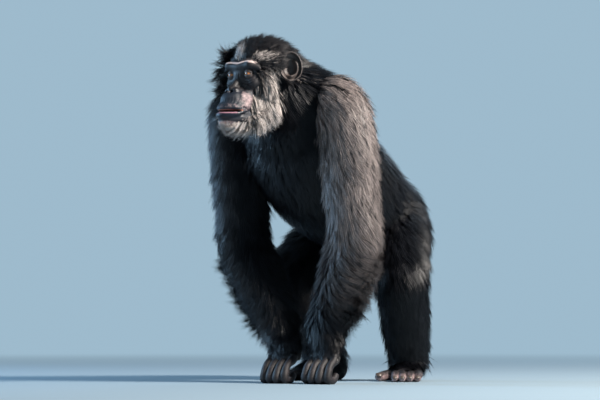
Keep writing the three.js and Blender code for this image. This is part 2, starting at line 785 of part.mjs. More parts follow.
function meets(a, b) {
  const [p, q] = [a.boundingBox(), b.boundingBox()];
  return [0, 1, 2].every((i) => p.min[i] < q.max[i] && q.min[i] < p.max[i]);
}

const group = new THREE.Group();
const locksPlaced = [];
for (const { name, look, shape, locks } of parts) {
  let solid = shape(0);
  if (locks) {
    seed = 7;
    const coat = join(locks(0));
    const others = parts.filter((other) => other.name !== name).map((other) => other.shape(GAP));
    solid = solid.add(less(coat, [...others, ...locksPlaced].filter((other) => meets(coat, other))));
    seed = 7;
    locksPlaced.push(join(locks(GAP)));
  }
  const floored = solid.trimByPlane([0, 0, 1], 0);
  const mesh = new THREE.Mesh(geometryOf(largest(floored)), new THREE.MeshStandardMaterial(COLOURS[look]));
  mesh.name = name;
  group.add(mesh);
}

// The part's own origin is on the floor under its middle
const middle = new THREE.Box3().setFromObject(group).getCenter(v3(0, 0, 0));
group.position.set(-middle.x, -middle.y, 0);

export default group;
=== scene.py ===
import math

import bpy
import numpy as np
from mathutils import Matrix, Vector


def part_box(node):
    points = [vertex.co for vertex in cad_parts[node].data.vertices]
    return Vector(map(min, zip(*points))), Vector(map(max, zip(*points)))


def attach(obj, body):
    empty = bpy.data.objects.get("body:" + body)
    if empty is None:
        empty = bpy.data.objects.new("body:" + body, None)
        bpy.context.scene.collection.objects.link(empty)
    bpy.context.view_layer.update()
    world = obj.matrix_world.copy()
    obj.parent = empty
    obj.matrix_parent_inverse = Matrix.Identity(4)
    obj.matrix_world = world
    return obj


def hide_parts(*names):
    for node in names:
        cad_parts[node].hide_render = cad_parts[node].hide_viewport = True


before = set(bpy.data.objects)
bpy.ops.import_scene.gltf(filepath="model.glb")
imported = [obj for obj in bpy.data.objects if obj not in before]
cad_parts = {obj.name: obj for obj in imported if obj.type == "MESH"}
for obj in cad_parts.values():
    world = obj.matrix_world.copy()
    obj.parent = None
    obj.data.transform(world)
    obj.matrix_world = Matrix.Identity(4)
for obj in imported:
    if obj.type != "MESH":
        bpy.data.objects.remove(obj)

bl_info = {
    "name": "Chimpanzee model",
    "version": (1, 0, 0),
    "blender": (4, 5, 0),
    "location": "3D View > Sidebar > Chimpanzee",
    "description": "Skin, eyes, ears, nails and coat of a life-size still chimpanzee",
    "category": "Object",
}

# The plan of the body, in millimetres
# The animal faces -Y and its left side is +X. The floor is z = 0.
SHOULDER_HEIGHT = 705
HIP_HEIGHT = 458
SHOULDER_HALF_WIDTH = 154
HIP_HALF_WIDTH = 80
LEAN = -10
SHOULDER_Y = -208
HIP_Y = 195
FINGER_RADIUS = 10.4
TOE_RADIUS = 9.6
BALL_OF_FOOT = 92
# Each finger's place across the hand, its reach and its lift, and each toe's place and length
FINGERS = ((1.5, 0.96, 2), (0.5, 1.06, 0), (-0.5, 1, 0), (-1.5, 0.86, 0))
TOES = ((1.5, 56), (0.5, 62), (-0.5, 57), (-1.5, 48))
LIMBS = {
    "left": {
        "side": 1,
        "elbow": (148, -138, 380),
        "wrist": (78, -184, 142),
        "knuckles": (95, -201, 62),
        "knee": (170, 45, 272),
        "ankle": (114, 186, 82),
        "foot_yaw": 28,
    },
    "right": {
        "side": -1,
        "elbow": (-178, -172, 376),
        "wrist": (-45, -186, 146),
        "knuckles": (-30, -206, 62),
        "knee": (-165, 34, 280),
        "ankle": (-120, 140, 82),
        "foot_yaw": -24,
    },
}
JOINTS = ("elbow", "wrist", "knuckles", "knee", "ankle")

# The head's place and turn, and in its own axes the left eye and the mouth
HEAD_ORIGIN = np.array([-11, -322, 800])
HEAD_YAW = 9
EYE_PLACE = (86, 29, -22)
MOUTH_HEIGHT = -118.5
# How far the skin stays above the floor
SKIN_GAP = 0.2

# How far a tube's shape is worked out past its own surface, and its steps between two stations
TUBE_REACH = 45
STEPS_A_STATION = 6


# Shapes worked out as distances
def blend(a, b, k):
    h = np.maximum(k - np.abs(a - b), 0) / k
    return np.minimum(a, b) - h * h * k * 0.25


def carve(a, b, k):
    return -blend(-a, b, k)


def smooth(x, low, high):
    t = np.clip((x - low) / (high - low), 0, 1)
    return t * t * (3 - 2 * t)


def mix(a, b, t):
    return a + (b - a) * t


def unit(v):
    return v / np.maximum(np.linalg.norm(v, axis=-1, keepdims=True), 1e-9)


def vec(*xyz):
    return np.array(xyz, float)


def from_oval(q, r):
    """The distance from an oval at the origin with the radii r."""
    k0 = np.linalg.norm(q / r, axis=1)
    k1 = np.maximum(np.linalg.norm(q / r**2, axis=1), 1e-9)
    return k0 * (k0 - 1) / k1


def oval(p, centre, radii):
    return from_oval(p - vec(*centre), vec(*radii))


def bar(p, a, b, ra, rb):
    """A rod from a to b with round ends."""
    a = vec(*a)
    ab = vec(*b) - a
    t = np.clip((p - a) @ ab / (ab @ ab), 0, 1)
    return np.linalg.norm(p - a - t[:, None] * ab, axis=1) - mix(ra, rb, t)


class Tube:
    """An oval section that follows a curve. Each station is (point, half width, half depth, inset)."""

    def __init__(self, stations, across=(1, 0, 0), dome=0.7):
        points = np.array([s[0] for s in stations], float)
        radii = np.array([(s[1], s[2] if len(s) > 2 else s[1]) for s in stations], float)
        inset = np.array([s[3] if len(s) > 3 else 0 for s in stations], float)
        radii = radii - inset[:, None]
        n = len(points)
        place = np.linspace(0, n - 1, STEPS_A_STATION * (n - 1) + 1)
        self.centres = np.array([self.curve(points, t) for t in place])
        self.along = unit(np.gradient(self.centres, axis=0))
        self.out = unit(vec(*across) - self.along * (self.along @ vec(*across))[:, None])
        self.up = np.cross(self.along, self.out)
        i = np.minimum(place.astype(int), n - 2)
        t = place - i
        t = (smooth(t, 0, 1) + t) / 2
        self.radii = mix(radii[i], radii[i + 1], t[:, None])
        self.dome = dome
        reach = self.radii.max() + TUBE_REACH
        self.low = self.centres.min(0) - reach
        self.high = self.centres.max(0) + reach

    @staticmethod
    def curve(points, place):
        """A centripetal Catmull-Rom curve through the points."""
        i = min(int(place), len(points) - 2)
        t = place - i
        p1, p2 = points[i], points[i + 1]
        p0 = points[i - 1] if i else 2 * p1 - p2
        p3 = points[i + 2] if i + 2 < len(points) else 2 * p2 - p1
        d0, d1, d2 = (np.sqrt(np.linalg.norm(b - a)) or 1 for a, b in ((p0, p1), (p1, p2), (p2, p3)))
        m1 = ((p1 - p0) / d0 - (p2 - p0) / (d0 + d1) + (p2 - p1) / d1) * d1
        m2 = ((p2 - p1) / d1 - (p3 - p1) / (d1 + d2) + (p3 - p2) / d2) * d1
        return p1 + m1 * t + (3 * p2 - 3 * p1 - 2 * m1 - m2) * t**2 + (2 * p1 - 2 * p2 + m1 + m2) * t**3

    def near(self, p):
        return np.all((p > self.low) & (p < self.high), axis=1)

    def local(self, p):
        """Each point's station, its offset across, up and past an end, and the section's radii."""
        best = np.full(len(p), np.inf)
        place = np.zeros(len(p))
        for i in range(len(self.centres) - 1):
            step = self.centres[i + 1] - self.centres[i]
            t = np.clip((p - self.centres[i]) @ step / (step @ step), 0, 1)
            distance = ((p - self.centres[i] - t[:, None] * step) ** 2).sum(1)
            nearer = distance < best
            best[nearer] = distance[nearer]
            place[nearer] = i + t[nearer]
        i = np.minimum(place.astype(int), len(self.centres) - 2)
        t = (place - i)[:, None]

        def at(rows):
            return mix(rows[i], rows[i + 1], t)

        offset = p - at(self.centres)
        past = (offset * at(self.along)).sum(1) * ((place <= 0) | (place >= len(self.centres) - 1))
        x = (offset * at(self.out)).sum(1)
        y = (offset * at(self.up)).sum(1)
        return place / (len(self.centres) - 1), np.stack([x, y, past], 1), at(self.radii)

    def distance(self, p):
        _, q, r = self.local(p)
        return from_oval(q, np.column_stack([r, r.min(1) * self.dome]))


def lerp(a, b, t, shift=(0, 0, 0)):
    return a + (b - a) * t + vec(*shift)


def foot_axes(limb):
    """The ways a foot points: ahead and to the animal's left."""
    yaw = math.radians(limb["foot_yaw"])
    return vec(math.sin(yaw), -math.cos(yaw), 0), vec(math.cos(yaw), math.sin(yaw), 0)


def limb_tubes(limb):
    """The tubes of one arm and one leg, with their digits."""
    side = limb["side"]
    shoulder = vec(LEAN + side * SHOULDER_HALF_WIDTH, SHOULDER_Y, SHOULDER_HEIGHT)
    hip = vec(side * HIP_HALF_WIDTH, HIP_Y, HIP_HEIGHT)
    elbow, wrist, knuckles, knee, ankle = (vec(*limb[joint]) for joint in JOINTS)
    tubes = {}
    tubes["upper_arm"] = Tube([
        (shoulder + vec(-side * 38, 6, 38), 52, 64, 15),
        (shoulder + vec(-side * 2, 0, 0), 69, 78, 16),
        (lerp(shoulder, elbow, 0.34, (side * 4, 0, 0)), 72, 75, 16),
        (lerp(shoulder, elbow, 0.75), 66, 68, 16),
        (elbow, 62, 64, 15),
    ])
    tubes["forearm"] = Tube([
        (elbow, 61, 63, 15),
        (lerp(elbow, wrist, 0.25), 61, 61, 15),
        (lerp(elbow, wrist, 0.6), 53, 50, 13),
        (lerp(elbow, wrist, 0.88), 39, 34, 7),
        (wrist, 34, 28, 3),
    ])
    tubes["hand"] = Tube([
        (wrist, 34, 28, 3),
        (lerp(wrist, knuckles, 0.3), 35, 23, 1),
        (lerp(wrist, knuckles, 0.7, (0, 3, 0)), 41, 20),
        (knuckles, 43, 17),
    ])
    r = FINGER_RADIUS
    pitch = 2 * r + 0.8
    for i, (place, reach, lift) in enumerate(FINGERS):
        root = knuckles + vec(-side * place * pitch, -2, 0)
        bend = vec(root[0], root[1] - 42 * reach, r + 2 + lift)
        fold = vec(root[0], bend[1] + 28 * reach, r - 1)
        start = lerp(root, wrist, 0.1)
        start[0] = root[0]
        tubes[f"finger_{i + 1}"] = Tube([
            (start, r - 1, r + 3),
            (root, r, r + 2),
            (lerp(root, bend, 0.5, (0, -8, 7)), r - 0.9),
            (bend, r + 0.7),
            (fold, r - 0.5),
            (fold + vec(0, 14, 12), r - 2),
        ], dome=0.8)
    root = lerp(wrist, knuckles, 0.4, (-side * 37, 8, 6))
    tip = root + vec(-side * 4, 2, -50)
    tubes["thumb"] = Tube([(root, 11), (lerp(root, tip, 0.5, (-side * 3, -2, 0)), 9), (tip, 8)], dome=0.8)
    tubes["thigh"] = Tube([
        (hip + vec(-side * 16, 10, 8), 68, 78, 15),
        (lerp(hip, knee, 0.3, (0, 8, 0)), 76, 84, 15),
        (lerp(hip, knee, 0.7), 71, 76, 15),
        (knee, 62, 64, 14),
    ])
    tubes["shin"] = Tube([
        (knee, 62, 64, 14),
        (lerp(knee, ankle, 0.35, (0, 6, 0)), 64, 65, 15),
        (lerp(knee, ankle, 0.75, (0, -2, 0)), 61, 60, 16),
        (ankle + vec(0, 2, -14), 49, 50, 13),
    ])
    ahead, left = foot_axes(limb)

    def at(forward, across, height):
        return vec(ankle[0], ankle[1], height) + ahead * forward + left * across

    tubes["foot"] = Tube([
        (at(-46, 0, 25), 26, 27),
        (at(-18, 0, 32), 34, 34, 2),
        (at(34, 0, 28), 36, 30, 1),
        (at(70, 0, 18), 42, 21),
        (at(BALL_OF_FOOT, 0, 15), 41, 17),
    ], across=left)
    r = TOE_RADIUS
    for i, (place, length) in enumerate(TOES):
        across = -side * place * (2 * r + 0.6)
        tubes[f"toe_{i + 1}"] = Tube([
            (at(BALL_OF_FOOT - 6, across, 16), r),
            (at(BALL_OF_FOOT + length * 0.4, across, 20), r),
            (at(BALL_OF_FOOT + length * 0.8, across, 12), r),
            (at(BALL_OF_FOOT + length, across, r - 1.5), r - 1),
        ], across=left, dome=0.8)
    tubes["big_toe"] = Tube([
        (at(26, -side * 26, 20), 17, 16),
        (at(52, -side * 52, 16), 14),
        (at(80, -side * 68, 13), 13),
        (at(98, -side * 74, 12), 11),
    ], across=left, dome=0.8)
    return tubes


TRUNK = Tube([
    (vec(LEAN, -252, 672), 96, 86, 13),
    (vec(LEAN, -208, 652), 146, 120, 14),
    (vec(-8, -134, 602), 160, 150, 15),
    (vec(-4, -46, 545), 162, 157, 15),
    (vec(0, 50, 500), 154, 150, 15),
    (vec(0, 134, 476), 140, 124, 15),
    (vec(0, 200, 462), 128, 98, 15),
    (vec(0, 254, 438), 98, 78, 14),
], dome=0.55)
NECK = Tube([
    (vec(LEAN, -140, 680), 158, 116, 15),
    (vec(LEAN, -206, 728), 142, 104, 15),
    (vec(-11, -272, 760), 98, 90, 14),
    (vec(-12, -318, 784), 50, 54, 8),
])
TUBES = {word: limb_tubes(limb) for word, limb in LIMBS.items()}

# The parts of each limb that carry a coat, and how softly each joins the body
PARTS = ("upper_arm", "forearm", "hand", "thigh", "shin", "foot")
PART_SOFTNESS = (26, 20, 12, 30, 20, 16)
# Every part in the order of the coat's numbers
ALL_PARTS = [TRUNK, NECK, None] + [TUBES[word][part] for word in TUBES for part in PARTS]
NECK_PART, HEAD_PART, FIRST_LIMB_PART = 1, 2, 3
LEFT_ARM_PARTS = (3, 4)
# The box round the head, in its own axes
HEAD_BOX = ((-140, -120, -215), (215, 120, 110))


def turned(degrees):
    """The axes of something that is turned about Z."""
    c, s = math.cos(math.radians(degrees)), math.sin(math.radians(degrees))
    return np.array([[c, s, 0], [-s, c, 0], [0, 0, 1]])


HEAD_AXES = turned(-90 - HEAD_YAW)


def in_head(p):
    """Plan points in the head's own axes: forward, left and up."""
    return (p - HEAD_ORIGIN) @ HEAD_AXES.T


def from_head(p):
    return HEAD_ORIGIN + np.asarray(p, float) @ HEAD_AXES


def brow_line(l):
    """The height of the pale band along the top of the brow."""
    return np.interp(np.abs(l), [0, 25, 45, 60, 66], [5, 10, 7, 0, -8])


def hairline(h):
    """How hairy the head is, 0 on the bare face and 1 under the coat."""
    f, l, z = h[:, 0], np.abs(h[:, 1]), h[:, 2]
    heights = [-170, -150, -124, -99, -72, -40, -11, 10, 24]
    side = np.interp(z, heights, [132, 104, 92, 88, 80, 68, 78, 84, 88])
    top = smooth(z - brow_line(l), 4, 11)
    flank = smooth(side - f, -5, 7)
    chin = smooth(-z, mix(151, 141, smooth(l, 16, 26)), mix(159, 150, smooth(l, 16, 26)))
    return np.maximum(np.maximum(top, flank), chin)


LIPS = [
    Tube([
        (vec(108, 39, MOUTH_HEIGHT + 1), 2.5),
        (vec(mix(112, front, 0.55), 29, height + 2), radius * 0.8),
        (vec(front, 0, height), radius * 1.1, radius),
        (vec(mix(112, front, 0.55), -29, height + 2), radius * 0.8),
        (vec(108, -39, MOUTH_HEIGHT + 1), 2.5),
    ], across=(0, 0, 1))
    for height, front, radius in ((-112.5, 156, 4.8), (-128.5, 157, 7.4))
]


# The head's forms after the skull: how each joins, its shape and how softly it joins
HEAD_FORMS = [
    (blend, oval, (50, 0, -26), (50, 58, 44), 20),
    (blend, oval, (36, 0, -84), (58, 54, 50), 22),
    (blend, bar, (78, 38, -45), (42, 56, -40), 13, 12, 14),
    (blend, bar, (30, 44, -100), (94, 24, -138), 20, 19, 16),
    (blend, oval, (90, 0, -90), (56, 40, 33), 16),
    (blend, oval, (107, 0, -143), (47, 34, 20), 12),
    (carve, oval, (110, 30, -25), (19, 18, 12), 9),
    (blend, bar, (84, 0, -22), (112, 0, -56), 6.5, 9, 9),
    (blend, bar, (77, 56, -9), (91, 35, 1), 7, 9, 9),
    (blend, bar, (91, 35, 1), (94, 0, -3), 9, 8.5, 9),
    (blend, oval, (119, 0, -61), (12, 9, 8), 6),
    (blend, oval, (116, 13, -65), (10.5, 8.5, 7.5), 4),
    (blend, oval, (106, 0, -106), (50, 40, 14), 10),
    (blend, oval, (104, 0, -133), (49, 36, 14), 10),
]


def head_distance(h):
    """The head's surface in its own axes, both sides alike."""
    p = h.copy()
    p[:, 1] = np.abs(p[:, 1])
    f, l, z = p.T
    d = oval(p, (0, 0, 12), (92, 68, 52))
    for join, form, *shape, k in HEAD_FORMS:
        d = join(d, form(p, *shape), k)
    for lip in LIPS:
        near = lip.near(h)
        d[near] = blend(d[near], lip.distance(h[near]), 5)
    # Folds round the eyes, beside the nose and down the upper lip
    round_eye = np.hypot((l - 29) / 1.15, z + 24)
    eye_folds = smooth(30 - round_eye, 0, 8) * smooth(round_eye, 14, 18)
    d = d + 0.8 * np.cos(round_eye * 2 * np.pi / 6.5) * eye_folds * smooth(-z, 14, 26)
    cheek_fold = (l - 20 - 0.4 * (-z - 58)) / 3.2
    d = d + 1.3 * np.exp(-(cheek_fold**2)) * smooth(-z, 50, 60) * smooth(z, -98, -84) * (f > 80)
    lip_folds = smooth(z, -112, -104) * smooth(-z, 78, 86) * smooth(f, 110, 125)
    d = d + 0.35 * np.cos(h[:, 1] * 2 * np.pi / 6) * lip_folds
    d = carve(d, oval(p, (129, 8, -69), (9, 4.6, 4.2)), 2)
    d = carve(d, oval(p, (132, 0, MOUTH_HEIGHT), (46, 38, 2.9)), 1.4)
    # The skin leaves room for the eyeballs
    return carve(d, oval(p, EYE_PLACE, (11.6, 11.6, 11.6)), 1)


def box_distance(p, low, high):
    low, high = vec(*low), vec(*high)
    q = np.abs(p - (low + high) / 2) - (high - low) / 2
    return q.max(1)


def body_distance(p):
    """The distance from plan points to the skin, below zero inside it."""
    field = np.full(len(p), 300.0)

    def add(tube, k):
        near = tube.near(p)
        field[near] = blend(field[near], tube.distance(p[near]), k)

    add(TRUNK, 5)
    add(NECK, 40)
    for tubes in TUBES.values():
        for part, softness in zip(PARTS, PART_SOFTNESS):
            add(tubes[part], softness)
        for name, tube in tubes.items():
            if name.startswith(("finger", "toe")):
                add(tube, 2.5)
        add(tubes["thumb"], 9)
        add(tubes["big_toe"], 12)
    h = in_head(p)
    near = box_distance(h, *HEAD_BOX) < 0
    inset = 4 * hairline(h[near])
    field[near] = blend(field[near], head_distance(h[near]) + inset, 14)
    return field


def surface_net(value, start, cell):
    """The zero surface of a grid of distances, as points and outward four-sided faces."""
    inside = value < 0
    shape = np.array(value.shape) - 1
    corners = [(i, j, k) for i in (0, 1) for j in (0, 1) for k in (0, 1)]

    def corner(c):
        return inside[tuple(slice(c[a], shape[a] + c[a]) for a in range(3))]

    count = sum(corner(c).astype(np.int8) for c in corners)
    cells = np.argwhere((count > 0) & (count < 8))
    number = np.full(shape, -1)
    number[tuple(cells.T)] = np.arange(len(cells))
    values = np.stack([value[tuple((cells + c).T)] for c in corners], 1)
    total = np.zeros((len(cells), 3))
    hits = np.zeros(len(cells))
    for a, low in enumerate(corners):
        for b, high in enumerate(corners):
            step = np.array(high) - low
            if step.min() < 0 or step.sum() != 1:
                continue
            crossing = (values[:, a] < 0) != (values[:, b] < 0)
            t = values[crossing, a] / (values[crossing, a] - values[crossing, b])
            total[crossing] += np.array(low) + t[:, None] * step
            hits[crossing] += 1
    points = np.array(start) + (cells + total / hits[:, None]) * cell
    faces = []
    for axis in range(3):
        u = np.eye(3, dtype=int)[(axis + 1) % 3]
        v = np.eye(3, dtype=int)[(axis + 2) % 3]
        low = [slice(1, n) for n in shape]
        high = [slice(1, n) for n in shape]
        low[axis] = slice(0, shape[axis])
        high[axis] = slice(1, shape[axis] + 1)
        change = inside[tuple(low)] != inside[tuple(high)]
        edges = np.argwhere(change)
        origin = np.ones(3, int)
        origin[axis] = 0
        outward = inside[tuple(low)][tuple(edges.T)]
        edges = edges + origin
        quad = np.stack([number[tuple((edges - s).T)] for s in (u + v, v, 0 * u, u)], 1)
        quad[~outward] = quad[~outward, ::-1]
        faces.append(quad)
    return points, np.concatenate(faces)


def grid_points(low, high, cell):
    counts = np.ceil((np.array(high) - low) / cell).astype(int) + 1
    axes = [low[a] + np.arange(counts[a]) * cell for a in range(3)]
    return np.stack(np.meshgrid(*axes, indexing="ij"), -1)


# The boxes of the skin's patches: the body's and, with a finer mesh, the face's, hands' and feet's
BODY_BOX = (vec(-285, -520, -14), vec(285, 310, 900))
PATCH_OVERLAP = 3
FACE_BOX = ((44, -76, -176), (186, 76, 46))
FINE_BOXES = []
for limb in LIMBS.values():
    middle = vec(*limb["knuckles"])
    FINE_BOXES.append((middle + (-66, -75, -70), middle + (66, 60, 66)))
for limb in LIMBS.values():
    x, y, _ = limb["ankle"]
    inner, outer = sorted((-60 * limb["side"], 118 * limb["side"]))
    FINE_BOXES.append((vec(x + inner, y - 172, -8), vec(x + outer, y + 72, 64)))


def patch(low, high, cell, to_plan=None):
    """One fine patch of the skin, closed at the sides of its box."""
    low, high = vec(*low), vec(*high)
    points = grid_points(low - 2 * cell, high + 2 * cell, cell)
    flat = points.reshape(-1, 3)
    plan = to_plan(flat) if to_plan else flat
    value = np.maximum(body_distance(plan), box_distance(flat, low, high))
    verts, faces = surface_net(value.reshape(points.shape[:3]), low - 2 * cell, cell)
    return (to_plan(verts) if to_plan else verts), faces


def rough_patch(cell):
    """The rest of the skin, which stops a little inside each fine patch."""
    points = grid_points(*BODY_BOX, cell)
    flat = points.reshape(-1, 3)
    value = body_distance(flat)
    cuts = [box_distance(in_head(flat), *FACE_BOX)]
    cuts += [box_distance(flat, *box) for box in FINE_BOXES]
    for cut in cuts:
        value = np.maximum(value, -(cut + PATCH_OVERLAP))
    return surface_net(value.reshape(points.shape[:3]), BODY_BOX[0], cell)


# From the plan to the frame's metres
OFFSET = sum(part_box("eye_left"), Vector()) / 2 - Vector(from_head(EYE_PLACE) / 1000)


def to_frame(points):
    return np.asarray(points, float) / 1000 + np.array(OFFSET)


def mesh_object(name, points, faces, finish):
    mesh = bpy.data.meshes.new(name)
    mesh.from_pydata(to_frame(points).tolist(), [], [list(f) for f in np.asarray(faces, dtype=object)])
    mesh.update()
    mesh.polygons.foreach_set("use_smooth", [True] * len(mesh.polygons))
    mesh.materials.append(finish)
    item = bpy.data.objects.new(name, mesh)
    bpy.context.scene.collection.objects.link(item)
    return item


def store(mesh, name, kind, domain, values):
    attribute = mesh.attributes.new(name, kind, domain)
    attribute.data.foreach_set("vector" if kind == "FLOAT_VECTOR" else "value", np.ravel(values))


def turns(count):
    """Angles spaced evenly round a circle."""
    return np.arange(count) / count * 2 * np.pi


def ring_faces(sides, rings, closed=True):
    """Faces over rings of points that start from a middle point and, if closed, end in another."""
    last = 1 + sides * rings
    faces = []
    for i in range(sides):
        j = (i + 1) % sides
        faces.append([0, 1 + i, 1 + j])
        for a in range(1, last - sides, sides):
            faces.append([a + i, a + sides + i, a + sides + j, a + j])
        if closed:
            faces.append([last, last - sides + j, last - sides + i])
    return faces


def ring_places(levels, sides, first, last):
    """Each point's level and turn, over rings of points between a first and a last point."""
    level = np.concatenate([[first], np.repeat(levels, sides), [last]])
    turn = np.concatenate([[0], np.tile(turns(sides), len(levels)), [0]])
    return level, turn


# The coat over each part: its lie, length, depth and how thick it grows
def tube_along(tube, p):
    place = tube.local(p)[0] * (len(tube.centres) - 1)
    return tube.along[np.round(place).astype(int)]


def rows(*columns):
    """Directions from three columns, of which some may be plain numbers."""
    return np.stack(np.broadcast_arrays(*columns), 1).astype(float)


def ear_reach(h):
    """How far points of the head are from the middle of an ear, 1 at its rim."""
    return np.hypot((h[:, 0] + 10) / 34, (h[:, 2] + 4) / 46)


def head_coat(h):
    """The lie, length, depth and density of the coat on the head."""
    f, l, z = h.T
    out = np.sign(l)
    wide = np.abs(l)
    crown = rows(l * np.where(l < 0, 0.02, 0.008), 0.85, 0.24)
    temple = rows(out * 0.5, 0.8, 0.05)
    cheek = rows(out * 0.25, 0.2, -1)
    outward = rows(out * 0.9, -0.3, mix(-0.5, 0.3, smooth(z, -30, 20)))
    chin = rows(out * 0.1, mix(-0.25, -0.8, smooth(f, 90, 140)), -1)
    low = smooth(-z, -12, 26)
    top = smooth(z, 20, 48)
    right = smooth(-l, mix(30, 6, top), mix(50, 34, top)) * smooth(f, -20, 24) * smooth(z, -140, -100)
    right = right * smooth(74 - z, 0, 14) * (1 - smooth(f, 46, 60) * smooth(34 - wide, 0, 12))
    under = smooth(-z, 124, 146) * smooth(f, 50, 90)
    above = mix(crown, temple, smooth(wide, 40, 60)[:, None])
    lie = mix(mix(above, cheek, low[:, None]), outward, right[:, None])
    lie = mix(lie, chin, under[:, None])
    forehead = smooth(f, 30, 56) * smooth(wide * 0.2 + 44 - z, 0, 26) * (1 - low) * (1 - right)
    # Short hair lies flat in front of the ear and none grows under it
    near_ear = smooth(1.3 - ear_reach(h), 0, 0.4) * smooth(wide, 34, 46)
    length, depth = 44, 29
    for share, own_length, own_depth in (
        (low, 56, 16),
        (forehead, 18, 8),
        (right, 58, 38),
        (under, 42, mix(17, 9, smooth(f, 118, 136))),
        (near_ear, 13, 3.5),
    ):
        length = mix(length, own_length, share)
        depth = mix(depth, own_depth, share)
    ear_root = smooth(np.hypot((f + 2) / 17, (z + 4) / 30), 0.85, 1.05)
    density = hairline(h) * np.where(wide > 40, ear_root, 1)
    chin_spot = smooth(-z, 136, 142) * smooth(160 + z, 0, 10) * smooth(f, 108, 122)
    density = density * (1 - 0.8 * chin_spot * smooth(28 - wide, 0, 12))
    return lie, length, depth, density


# How far the coat of one part runs over into the next
COAT_BLEND = 9


def coat_zones(p, normal):
    """The coat's lie, length, depth and density at plan points, and the part that is nearest."""
    h = in_head(p)
    x = p[:, 0] - LEAN
    distances = [TRUNK.distance(p), NECK.distance(p), head_distance(h)]
    back = smooth(normal[:, 2], -0.5, 0.3)
    rump = smooth(p[:, 1], 60, 240)
    trunk_lie = tube_along(TRUNK, p) + rows(x * 0.0023, 0, -0.4 - 1.1 * rump - np.abs(x) * 0.002)
    chest = smooth(-normal[:, 1], 0.2, 0.8) * smooth(80 - np.abs(x), 0, 40) * smooth(720 - p[:, 2], 0, 60)
    neck_lie = rows(x * 0.004, 0.6, -0.7)
    # The lie, length, depth and density over each part
    zones = [
        (trunk_lie, mix(60, 72, back), mix(20, 24, back), mix(0.8, 1, back) * (1 - 0.45 * chest)),
        (neck_lie, 72, 25, 1 - 0.45 * chest),
        head_coat(h),
    ]
    for word, tubes in TUBES.items():
        side = LIMBS[word]["side"]
        along = {n: tube_along(tubes[n], p) for n in PARTS}
        fringe = smooth(np.abs(p[:, 2] - 270), 60, 130)
        outer = mix(0.15, 1, smooth(side * normal[:, 0], -0.5, 0.3))
        forearm_lie = rows(side * outer * mix(1.0, 0.7, fringe), 0.35, mix(-0.55, -0.9, fringe))
        zones += [
            (along["upper_arm"] + vec(side * 0.25, 0.2, 0), 74, 26, 1),
            (forearm_lie, mix(66, 84, outer), mix(24, 34, outer), 1),
            (along["hand"], 24, 7, 0.55 * smooth(p[:, 2], 66, 110)),
            (along["thigh"] + vec(side * 0.1, 0.8, -0.8), 72, 28, 1),
            (along["shin"] + vec(side * 0.15, 0.1, -0.3), 62, 24, 1),
            (along["foot"], 24, 6, 0.7 * smooth(p[:, 2], 28, 46)),
        ]
        distances += [tubes[n].distance(p) for n in PARTS]
    distances = np.array(distances)
    weights = np.exp(-(distances - distances.min(0)) / COAT_BLEND)
    weights /= weights.sum(0)
    lie = sum(w[:, None] * unit(z[0]) for w, z in zip(weights, zones))
    into = (lie * normal).sum(1)[:, None]
    lie = unit(lie - normal * np.where(into < 0, into, 0.9 * into))
    length, depth, density = (sum(w * z[i] for w, z in zip(weights, zones)) for i in (1, 2, 3))
    return lie, length, depth, density, distances.argmin(0)


def coat_tone(p, nearest):
    """How pale the coat is: white on the chin, grey on the cheeks, forehead and behind the ears."""
    f, l, z = in_head(p).T
    side = np.abs(l)
    beard = smooth(-z, 130, 142) * smooth(f, 40, 80)
    cheek = mix(0.3, 0.66, smooth(-z, 10, 60)) * smooth(-z, 0, 16) * smooth(140 + z, 0, 24)
    cheek = cheek * smooth(f, -12, 12) * mix(1, 0.5, smooth(-l, 30, 50))
    cheek = cheek * mix(1, 0.2, smooth(f, 56, 72) * smooth(z, -74, -44))
    left_patch = 0.44 * smooth(1.25 - np.hypot((l - 42) / 14, (z - 18) / 12), 0, 0.5)
    middle_patch = 0.58 * smooth(1.25 - np.hypot((l + 8) / 17, (z - 24) / 13), 0, 0.5)
    brow = np.maximum(left_patch, middle_patch) * smooth(f, 26, 44)
    nape = 0.3 * smooth(-f, 16, 28) * smooth(f, -58, -44) * smooth(side, 44, 58)
    nape = nape * smooth(36 - np.abs(z - 8), 0, 16)
    pale = np.maximum.reduce([beard, cheek, brow, nape])
    return np.where(np.isin(nearest, (NECK_PART, HEAD_PART)), pale, 0)


def coat_bleach_and_sheen(p, nearest):
    """How much of the coat is browned: sun-bleached hair, with a painted sunlit sheen on the lit left
    shoulder and elbow.
    """
    x, y, z = p.T
    arm = np.isin(nearest, LEFT_ARM_PARTS) * smooth(x, 60, 120)
    flank = (nearest < HEAD_PART) * smooth(x, 90, 140) * smooth(-y, 60, 160)
    flank = flank * mix(0.25, 1, smooth(z, 620, 690))
    fade = 0.34 * smooth(z, 170, 300) + 0.66 * smooth(z, 330, 410)
    back = mix(0.35, 1, smooth(-y, 130, 210))
    return np.clip(np.maximum(arm, flank) * fade * back + 0.04 * (nearest == HEAD_PART), 0, 1)


# Where each part lies on the flat unwrap: its corner and its size
UNWRAP = [(0.01, 0.01, 0.46, 0.40), (0.49, 0.01, 0.20, 0.24), (0.49, 0.27, 0.24, 0.24)] + [
    (0.01 + 0.25 * (i % 4), (0.43 if i < 6 else 0.71) + 0.14 * (i % 6 // 4), 0.23, 0.12) for i in range(12)
]


def unwrap(p, nearest):
    """Each point's place along and round its own part."""
    uv = np.zeros((len(p), 2))
    for i, part in enumerate(ALL_PARTS):
        here = nearest == i
        if not here.any():
            continue
        if part is None:
            h = in_head(p[here]) - (20, 0, -40)
            along = (h[:, 2] + 130) / 240
            angle = np.arctan2(h[:, 1], h[:, 0])
        else:
            along, q, _ = part.local(p[here])
            angle = np.arctan2(q[:, 1], q[:, 0])
        u, v, width, height = UNWRAP[i]
        uv[here, 0] = u + width * np.clip(along, 0, 1)
        uv[here, 1] = v + height * (angle / (2 * np.pi) + 0.5)
    return uv


